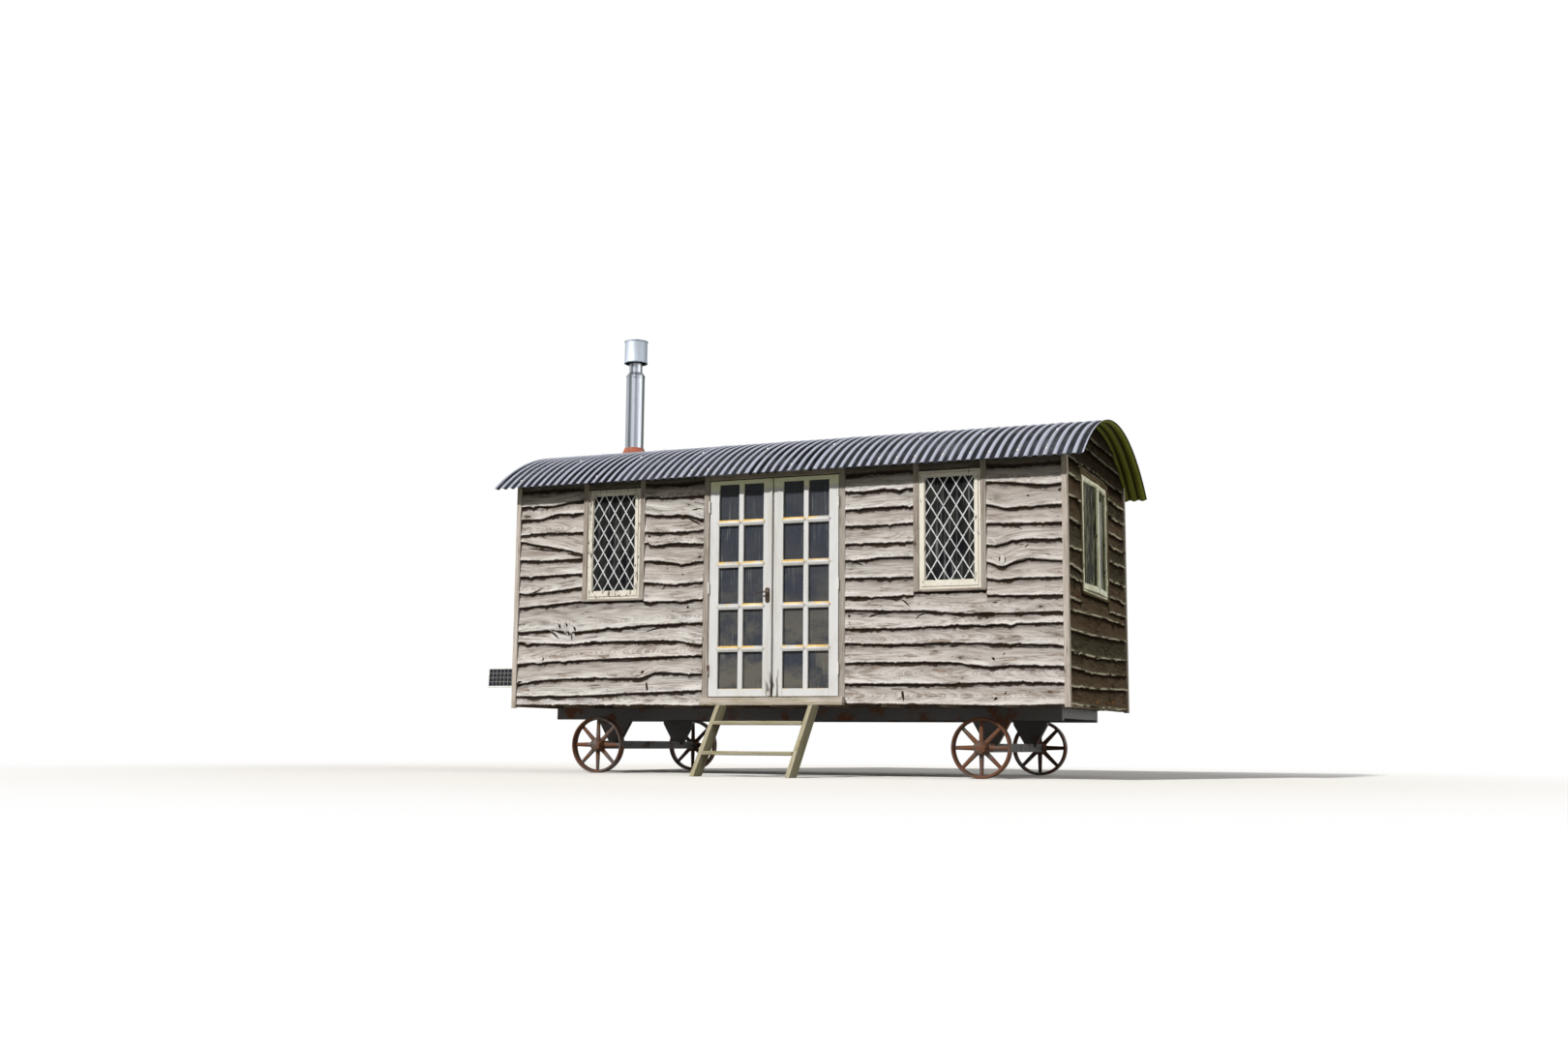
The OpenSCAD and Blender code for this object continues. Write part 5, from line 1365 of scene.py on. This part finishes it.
def sheet_tree():
    """One corrugated sheet bent round the hut's roof axis: a grid of (distance along, angle) laid on its waves."""
    sizes = {"Columns": "Int", "Rows": "Int"}
    sizes.update(dict.fromkeys(("Length", "Half Angle", "Pitch", "Depth", "Valley Radius", "Start", "First", "Lift",
                                "Axis Y", "Axis Z"), "Float"))
    tree, given = new_tree("curved_corrugated_sheet", sizes)
    grid = node(tree, "GeometryNodeMeshGrid",
                {0: given["Length"], 1: given["Half Angle"] * 2.0, 2: given["Columns"], 3: given["Rows"]})
    flat = apart_of(node(tree, "GeometryNodeInputPosition"))
    along = flat[0] + given["Length"] / 2.0 + given["First"]
    in_waves = along / given["Pitch"]
    crest = maths("COSINE", in_waves * (2 * pi)) + 1.0
    settling = 2.0 - in_waves * 2.0
    lapped = maths("MINIMUM", maths("MAXIMUM", settling, 0.0), 1.0) * given["Lift"]
    radius = given["Valley Radius"] + crest * (given["Depth"] / 2.0) + lapped
    bent = {0: given["Start"] + along, 1: given["Axis Y"] + radius * maths("SINE", flat[1]),
            2: given["Axis Z"] + radius * maths("COSINE", flat[1])}
    laid = {"Geometry": grid, "Position": node(tree, "ShaderNodeCombineXYZ", bent)}
    return coated(given, node(tree, "GeometryNodeSetPosition", laid))


def roof_finish(name, valley, crest, rust_share, metallic):
    """Galvanised sheet, streaked down the slope: the valley and crest colours follow the distance from the roof's
    axis, painting the light and shade of the waves along with grime in the valleys and rain-washed crests.
    """
    finish, tree, shader = new_finish(name)
    place = object_place(tree)
    apart = apart_of(place)
    from_axis = [apart[1] - (roof_mid + hut_corner.y), apart[2] - (roof_z + hut_corner.z)]
    radius = maths("SQRT", from_axis[0] * from_axis[0] + from_axis[1] * from_axis[1])
    slope = maths("ARCTAN2", from_axis[0], from_axis[1]) * valley_r
    on_sheet = node(tree, "ShaderNodeCombineXYZ", {0: apart[0], 1: slope})
    streaks = mottle(on_sheet, (46, 1.6, 1), 5, 0.6)
    cloud = mottle(on_sheet, (2.3, 3.2, 1), 6, 0.6)
    spangle = mottle(place, 220, 2)
    # Painted light and shade across the waves, partly grime: the crest colour grows with the distance from the roof's
    # axis.
    high = faded(radius - valley_r, 0.004, 0.019)
    share = high * 0.65 + streaks * 0.5
    colour = mixed(faded(share, 0.49, 0.93), valley, crest)
    colour = mixed(faded(cloud, 0.45, 0.75, 0, 0.3), colour, tuple(0.50 * c for c in crest))
    each = maths("FLOOR", (apart[0] + (over_left - hut_corner.x)) / (wave_p * sheet_waves))
    shade = node(tree, "ShaderNodeTexWhiteNoise", {"W": each}, noise_dimensions="1D")
    colour = mixed(shade * 0.09, colour, tuple(0.75 * c for c in crest))
    rust = faded(cloud + streaks * 0.3, 0.90 - rust_share, 0.99 - rust_share)
    colour = mixed(rust * 0.6, colour, rust_light)
    surface(shader, colour, faded(share, 0.2, 1.0, 0.66, 0.46), streaks + spangle, 0.0007,
            {"Metallic": metallic, "Specular IOR Level": 0.03})
    return finish


roof_steel = roof_finish("roof_steel", (0.0050, 0.0058, 0.0085), (0.405, 0.43, 0.52), 0.04, 0.0)
roof_under = roof_finish("roof_underside", (0.30, 0.33, 0.055), (0.055, 0.050, 0.014), 0.12, 0.0)
sheet_rule = sheet_tree()
for third, first_sheet in (("left", 0), ("middle", 3), ("right", 6)):
    form = bmesh.new()
    for number in range(first_sheet, first_sheet + 3):
        count = min(sheet_waves, waves - number * sheet_waves)
        before = 0.0 if number == 0 else lap_waves
        after = 0.0 if number == last_sheet else lap_waves
        span = count + before + after
        form.from_mesh(grown(sheet_rule, bpy.data.meshes.new("start"), {
            "Columns": round(span * wave_steps) + 1, "Rows": arc_steps + 1, "Length": span * wave_p,
            "Half Angle": half_angle, "Pitch": wave_p, "Depth": wave_d, "Valley Radius": valley_r + sheet_t,
            "Start": number * sheet_waves * wave_p - over_left, "First": -before * wave_p,
            "Lift": 0.0 if number == 0 else lap_lift, "Axis Y": roof_mid, "Axis Z": roof_z, "Finish": roof_steel}))
    sheets = piece(f"{third}_corrugated_sheets", form, [roof_steel, roof_under],
                   [f"roof_sheets_{third}"], 60, closed=False)
    thickness = sheets.modifiers.new("sheet thickness", "SOLIDIFY")
    thickness.thickness, thickness.offset = sheet_t, -1.0
    thickness.material_offset = 1


screw_caps = clouded("screw_caps", (90, 4), (0.4, 0.75), (0.80, 0.80, 0.78), (0.42, 0.41, 0.37), (0, 1, 0.35, 0.6),
                     0.0005)
eave_crests = [3, 13, 25, 27, 37, 47, 49, 51, 54, 57, 59, 62, 65]
upper_crests = [8, 16, 24, 32, 40, 50, 57, 65]
places = []
for degrees, crests in ((-36, eave_crests), (-24, upper_crests), (-11, upper_crests), (11, upper_crests),
                        (24, upper_crests), (36, range(3, waves, 4))):
    turn = radians(degrees)
    out = Vector((0, sin(turn), cos(turn)))
    for crest in crests:
        foot = Vector((crest * wave_p - over_left, roof_mid, roof_z)) + out * (valley_r + wave_d + sheet_t)
        if abs(degrees) > 12 or abs(foot.x - flue_x) > flue_clear:
            places.append((foot, out))
fixed("roof_screw_caps", places, 10, cap_r, cap_h, screw_caps)


# Flue: a twin-wall stainless pipe through the crown, with a locking band at its top, a bare neck and a cowl.
# Seam-welded tube, bright; the cowl is spun zinc-coated steel gone matt, with a rolled rim at each end.
pipe_r, liner_r, pipe_inside = 0.087, 0.062, 0.090
pipe_top = crown_z + 0.804
cowl_foot, cowl_r, cowl_h = pipe_top + 0.092, 0.113, 0.216


def drawn_steel(name, pale, dark, roughness, bands):
    """Drawn tube, sooty inside, with soft upright bands of pale and dark painted round it as reflection; bands are
    (share of the turn from -X, tone from 0 for dark to 1 for pale)."""
    finish, tree, shader = new_finish(name)
    place = object_place(tree)
    from_axis = node(tree, "ShaderNodeVectorMath", {0: place, 1: hut_corner + Vector((flue_x, roof_mid, 0))},
                     operation="SUBTRACT")
    apart = apart_of(from_axis)
    narrow = mottle(place, (70, 70, 0.8), 3, 0.6)
    cloud = mottle(place, (7, 7, 4), 5)
    turn = maths("ARCTAN2", apart[1], apart[0]) / (2 * pi) + 0.5 + (cloud - 0.5) * 0.012
    ramp = node(tree, "ShaderNodeValToRGB", {0: turn})
    tones = ramp.node.color_ramp
    tones.interpolation = "EASE"
    for at, tone in bands[1:-1]:
        tones.elements.new(at)
    for stop, (at, tone) in zip(tones.elements, bands):
        stop.position, stop.color = at, (tone, tone, tone, 1)
    colour = mixed(ramp, dark, pale)
    colour = mixed(faded(narrow, 0.56, 0.72, 0, 0.30), colour, dark)
    colour = mixed(faded(cloud, 0.50, 0.75, 0, 0.18), colour, dark)
    radius = maths("SQRT", apart[0] * apart[0] + apart[1] * apart[1])
    soot = (maths("GREATER_THAN", apart[2], cowl_foot + 0.0004) * maths("LESS_THAN", radius, cowl_r - 0.0085)
            * maths("LESS_THAN", apart[2], cowl_foot + cowl_h - 0.004))
    colour = mixed(soot, colour, (0.012, 0.011, 0.010))
    surface(shader, colour, faded(narrow + soot, 0.3, 0.9, roughness, roughness + 0.12), narrow, 0.00006,
            {"Metallic": faded(soot, 0, 1, 0.8, 0)})
    return finish


# Painted reflection: the tones of the upright bands round the pipe and the cowl.
pipe_reflection_bands = [(0.0, 0.35), (0.064, 0.35), (0.13, 0.70), (0.190, 0.72), (0.222, 0.12), (0.252, 0.16), (0.285, 0.80),
              (0.306, 1.0), (0.338, 0.50), (0.365, 0.85), (0.411, 1.0), (0.440, 0.92), (0.462, 0.10), (0.530, 0.05),
              (0.578, 0.30), (0.65, 0.8), (0.72, 0.4), (0.80, 0.9), (0.90, 0.25), (1.0, 0.35)]
cowl_reflection_bands = [(0.0, 0.45), (0.10, 0.65), (0.17, 1.0), (0.24, 0.95), (0.33, 0.85), (0.43, 0.75), (0.48, 0.40),
              (0.55, 0.30), (0.62, 0.6), (0.75, 0.9), (0.90, 0.5), (1.0, 0.45)]
flue_steel = drawn_steel("flue_steel", (0.51, 0.55, 0.62), (0.045, 0.052, 0.052), 0.33, pipe_reflection_bands)
cowl_zinc = drawn_steel("cowl_zinc", (0.46, 0.51, 0.58), (0.16, 0.19, 0.225), 0.60, cowl_reflection_bands)
pipe_foot = roof_z + valley_r - deck_t - pipe_inside


def rolled(middle_z, radius, swell, half):
    """Points of a rolled bead round a pipe, from below to above."""
    return [(radius + swell * sin(pi * i / 6), middle_z - half * cos(pi * i / 6))
            for i in range(7)]


form = bmesh.new()
pipe = [(liner_r - 0.003, pipe_foot), (pipe_r, pipe_foot), (pipe_r, pipe_top - 0.058)]
pipe += rolled(pipe_top - 0.055, pipe_r, 0.0015, 0.002) + [(pipe_r + 0.001, pipe_top - 0.052),
                                                           (pipe_r + 0.001, pipe_top - 0.037)]
pipe += rolled(pipe_top - 0.032, pipe_r, 0.004, 0.004)
pipe += [(pipe_r - 0.002, pipe_top - 0.026), (liner_r + 0.010, pipe_top - 0.004), (liner_r + 0.002, pipe_top),
         (liner_r, pipe_top + 0.002), (liner_r, cowl_foot + 0.050), (liner_r - 0.003, cowl_foot + 0.050)]
turned(form, pipe, 96, closed=True)
moved(form, Matrix.Translation((flue_x, roof_mid, 0)))
clip = new_timbers()
timber(clip, (flue_x + 0.030, roof_mid - pipe_r - 0.012, pipe_top - 0.053),
       (flue_x + 0.042, roof_mid - pipe_r + 0.008, pipe_top - 0.037), 0.4, 0.002, 0)
joined(form, clip)
piece("flue_pipe_and_neck", form, flue_steel, ["flue_pipe"], 35)

form = bmesh.new()
can = [(cowl_r - 0.009, 0.001), (cowl_r - 0.006, -0.001), (cowl_r - 0.002, 0.0), (cowl_r, 0.003), (cowl_r, 0.007),
       (cowl_r - 0.004, 0.011), (cowl_r - 0.006, 0.016), (cowl_r - 0.006, cowl_h - 0.014),
       (cowl_r - 0.003, cowl_h - 0.011), (cowl_r, cowl_h - 0.007), (cowl_r, cowl_h - 0.002), (cowl_r - 0.003, cowl_h),
       (cowl_r - 0.012, cowl_h + 0.002), (0.05, cowl_h + 0.007), (0, cowl_h + 0.008)]
inside = [(0, 0.052), (liner_r + 0.012, 0.051), (cowl_r - 0.010, 0.050), (cowl_r - 0.010, 0.004)]
turned(form, can + inside, 96, closed=True)
moved(form, Matrix.Translation((flue_x, roof_mid, cowl_foot)))
piece("flue_cowl_can", form, cowl_zinc, ["flue_cowl"], 35)


# Boot: a moulded silicone boot that seals the pipe, red, with stepped rings and a foot pressed into the waves.
boot_r, boot_h, lip = 0.131, 0.076, 0.008
boot_silicone = clouded("boot_silicone", (14, 6, 0.6), (0.38, 0.7), (0.43, 0.120, 0.060), (0.24, 0.080, 0.048),
                        (0.3, 0.7, 0.45, 0.75), 0.0012)


def sheet_height(x, y):
    """Height of the sheets' upper side there."""
    wave = wave_d / 2 * (1 + cos(2 * pi * (x + over_left) / wave_p))
    radius = valley_r + sheet_t + wave + 0.0005
    return roof_z + sqrt(radius ** 2 - (y - roof_mid) ** 2)


form = bmesh.new()
steps = [(boot_r, lip), (boot_r - 0.010, lip + 0.001), (0.120, 0.016), (0.112, 0.020), (0.111, 0.034), (0.104, 0.038),
         (0.103, 0.052), (0.096, 0.056), (0.095, boot_h - 0.004), (pipe_r + 0.003, boot_h), (pipe_r + 0.0006, boot_h)]
rings = []
for radius, height in [(pipe_r + 0.0006, -1), (boot_r, -1)] + steps:
    ring = []
    for i in range(96):
        x, y = flue_x + radius * cos(2 * pi * i / 96), roof_mid + radius * sin(2 * pi * i / 96)
        ring.append((x, y, sheet_height(x, y) - 0.001 if height < 0 else crown_z + height))
    rings.append(ring)
rings[2] = [(x, y, max(z, sheet_height(x, y) + 0.003)) for x, y, z in rings[2]]
lofted(form, rings, closed=True)
piece("silicone_boot", form, boot_silicone, ["flue_boot"], 40)


# Steps: two sawn treads housed between sloping stringers that stand on the ground, tied under the sill.
# Loose timber steps, bleached and a little green near the ground; the olive cast of their colours is painted green
# light bounced up from below.
tread_l, tread_d, tread_t = 0.780, 0.180, 0.032
stringer_t, stringer_w = 0.035, 0.120
step_rise, step_run = 0.240, 0.200
tread_tops, tread_mids = [ground + 0.440, ground + 0.200], [-0.205, -0.405]
step_timber = weathered_wood("step_timber", (0.45, 0.43, 0.32), (0.26, 0.235, 0.155), umber, stain=0.3, green=0.3)
form = new_timbers()
for number, (top, middle) in enumerate(zip(tread_tops, tread_mids)):
    timber(form, (meeting_line - tread_l / 2 + seat_gap, middle - tread_d / 2, top - tread_t),
           (meeting_line + tread_l / 2 - seat_gap, middle + tread_d / 2, top), 51.0 + number, 0.005, 0.001)
piece("stair_treads", form, step_timber, ["step_treads"])

stringer_top = floor_top - door_sill_h - seat_gap
half = stringer_w / sin(atan(step_rise / step_run)) / 2
middle_z = tread_tops[0] - tread_t / 2
up, down = (stringer_top - middle_z) * step_run / step_rise, (middle_z - ground) * step_run / step_rise
form = new_timbers()
grain = form.verts.layers.float_vector["grain"]
slope = Vector((0, step_run, step_rise)).normalized()
for number, x in enumerate((meeting_line - tread_l / 2 - stringer_t, meeting_line + tread_l / 2)):
    front_top, back_top = tread_mids[0] + up - half, min(tread_mids[0] + up + half, -seat_gap)
    knee = stringer_top - max(0.0, tread_mids[0] + up + half + seat_gap) * step_rise / step_run
    front_foot, back_foot = tread_mids[0] - down - half, tread_mids[0] - down + half
    side_points = [(front_top, stringer_top), (back_top, stringer_top), (back_top, knee), (back_foot, ground),
                   (front_foot, ground)]
    middle = Vector((0, sum(y for y, z in side_points) / 5, sum(z for y, z in side_points) / 5))
    rings = []
    for out, inset in ((0, 0.003), (0.003, 0), (stringer_t - 0.003, 0), (stringer_t, 0.003)):
        ring = []
        for y, z in side_points:
            inward = (middle - Vector((0, y, z))).normalized() * inset
            ring.append((x + out, y + inward.y, z + inward.z))
        rings.append(ring)
    for vertex in lofted(form, rings):
        along = vertex.co.dot(slope)
        vertex[grain] = (along + number * 3.1, (vertex.co - slope * along).dot(Vector((0, -slope.z, slope.y))),
                         vertex.co.x)
piece("stair_stringers", form, step_timber, ["step_stringers"])


# Solar panel: a small framed panel with dark cells and silver grid lines under glass, upright on a square bar.
# Anodised aluminium frame, mitred; the bar is screwed to a plate on the gable's boarding.
solar_w, solar_h, solar_t, solar_rim = 0.375, 0.175, 0.025, 0.012
solar_tilt, solar_x, solar_y, solar_z = radians(4), -0.030 - solar_w / 2, 0.245, 0.270
cell_columns, cell_rows = 9, 4


def aluminium_finish():
    finish, tree, shader = new_finish("bracket_aluminium")
    place = object_place(tree)
    cloud = mottle(place, 25, 5)
    dull = faded(cloud, 0.4, 0.7)
    surface(shader, mixed(dull, (0.66, 0.67, 0.66), (0.44, 0.45, 0.42)), faded(dull, 0, 1, 0.38, 0.6),
            mottle(place, (300, 30, 30), 2), 0.0003, {"Metallic": 0.7})
    return finish


def cell_finish():
    """Dark blue cells between silver lines, read from the piece's own place map: columns and rows."""
    finish, tree, shader = new_finish("solar_cells")
    place = node(tree, "ShaderNodeAttribute", attribute_name="cells")["Vector"]
    apart = apart_of(place)
    lines = [faded(abs(maths("FRACT", apart[axis]) - 0.5), 0.44, 0.46) for axis in (0, 1)]
    fingers = faded(abs(maths("FRACT", apart[0] * 8.0) - 0.5), 0.42, 0.48, 0, 0.25)
    crystal = mottle(place, (3, 1.5, 1), 2)
    cells = mixed(faded(crystal, 0.3, 0.7), (0.010, 0.011, 0.017), (0.022, 0.025, 0.036))
    silver_lines = maths("MAXIMUM", maths("MAXIMUM", *lines), fingers)
    colour = mixed(silver_lines, cells, (0.24, 0.25, 0.22))
    surface(shader, colour, faded(silver_lines, 0, 1, 0.3, 0.45), silver_lines, 0.0002,
            {"Specular IOR Level": 0.05, "Coat Weight": 0.1, "Coat Roughness": 0.05})
    return finish


bracket_aluminium, solar_cells = aluminium_finish(), cell_finish()
tilted = Matrix.Translation((solar_x, solar_y, solar_z)) @ Matrix.Rotation(-solar_tilt, 4, "X")
form = new_timbers()
for z in (-solar_h / 2, solar_h / 2 - solar_rim):
    timber(form, (-solar_w / 2, 0, z), (solar_w / 2, solar_t, z + solar_rim), 1.0, 0.0015, 0)
for x in (-solar_w / 2, solar_w / 2 - solar_rim):
    timber(form, (x, 0.0001, -solar_h / 2 + solar_rim - 0.001),
           (x + solar_rim, solar_t, solar_h / 2 - solar_rim + 0.001), 2.0, 0.0015, 0)
moved(form, tilted)
piece("solar_panel_frame", form, bracket_aluminium, ["solar_panel"], 30)

form = bmesh.new()
cells = form.verts.layers.float_vector.new("cells")
w, h = solar_w / 2 - solar_rim + 0.001, solar_h / 2 - solar_rim + 0.001
rings = [[(-w, y, -h), (w, y, -h), (w, y, h), (-w, y, h)] for y in (0.003, solar_t - 0.004)]
for vertex in lofted(form, rings):
    vertex[cells] = ((vertex.co.x / w + 1) / 2 * cell_columns, (vertex.co.z / h + 1) / 2 * cell_rows, 0)
moved(form, tilted)
piece("solar_panel_cells", form, solar_cells, (), 30)
dress("solar_bracket", bracket_aluminium)


# Studio: a plain pale floor that keeps the hut's shadow and fades to white, a soft high sun and an even sky.
# The camera stands where the photo was taken, low in front of the right-hand corner.
camera_place = Vector((5.42378, -13.21602, 0.26839))
camera_right, camera_up = Vector((0.92155, 0.38819, 0.00768)), Vector((0.04495, -0.12631, 0.99097))
camera_back = camera_right.cross(camera_up)
sun_from, fill_from = Vector((-0.5, -1.0, 0.84)), Vector((1.0, 0.2, 0.35))
sun_strength, fill_strength, sky_strength, floor_size = 4.0, 1.3, 0.18, 60.0


def seen_by_eye(tree):
    """1 on the rays that the camera sends out, directly, off a gloss or through glass."""
    seen = node(tree, "ShaderNodeLightPath")
    straight = maths("MAXIMUM", seen["Is Camera Ray"], seen["Is Glossy Ray"])
    return maths("MAXIMUM", straight, seen["Is Transmission Ray"])


form = bmesh.new()
bmesh.ops.create_grid(form, x_segments=1, y_segments=1, size=floor_size)
mesh = bpy.data.meshes.new("studio_floor")
form.to_mesh(mesh)
form.free()
studio_floor = placed("studio_floor", mesh)
finish, tree, shader = new_finish("studio_floor")
to_eye = seen_by_eye(tree)
cloud = mottle(object_place(tree), 0.6, 3)
pale = mixed(cloud, (0.80, 0.79, 0.77), (0.84, 0.83, 0.81))
surface(shader, mixed(to_eye, (0.17, 0.165, 0.145), pale), faded(cloud, 0.2, 0.8, 0.82, 0.90), cloud, 0.0005)
far = node(tree, "ShaderNodeVectorMath", {0: object_place(tree)}, operation="LENGTH")["Value"]
away = faded(far, 3.6, 9.0) * to_eye
white = node(tree, "ShaderNodeEmission", {"Color": (1, 1, 1), "Strength": 1.0})
blend = node(tree, "ShaderNodeMixShader", {0: away, 1: Value(shader.outputs[0]), 2: white})
feed(tree.nodes["Material Output"].inputs["Surface"], blend)
mesh.materials.append(finish)

world = bpy.data.worlds.new("studio")
world.use_nodes = True
bpy.context.scene.world = world
tree = world.node_tree
to_eye = seen_by_eye(tree)
sky = tree.nodes["Background"].inputs
feed(sky["Color"], (1, 1, 1))
feed(sky["Strength"], faded(to_eye, 0.0, 1.0, sky_strength, 1.0))

for name, comes_from, strength, spread, colour in (("sun", sun_from, sun_strength, 3, (1.0, 0.975, 0.94)),
                                                 ("fill", fill_from, fill_strength, 60, (1.0, 0.98, 0.90))):
    lamp = bpy.data.lights.new(name, "SUN")
    lamp.energy, lamp.angle, lamp.color = strength, radians(spread), colour
    shining = placed(name, lamp)
    shining.rotation_mode = "QUATERNION"
    shining.rotation_quaternion = comes_from.to_track_quat("Z", "Y")

camera_data = bpy.data.cameras.new("camera")
camera_data.sensor_width, camera_data.lens, camera_data.clip_end = 36.0, 37.457, 200.0
camera = placed("camera", camera_data)
camera_axes = Matrix((camera_right, camera_up, camera_back)).transposed().to_4x4()
camera.matrix_world = Matrix.Translation(camera_place) @ camera_axes
bpy.context.scene.camera = camera
bpy.context.scene.view_settings.view_transform = "Standard"
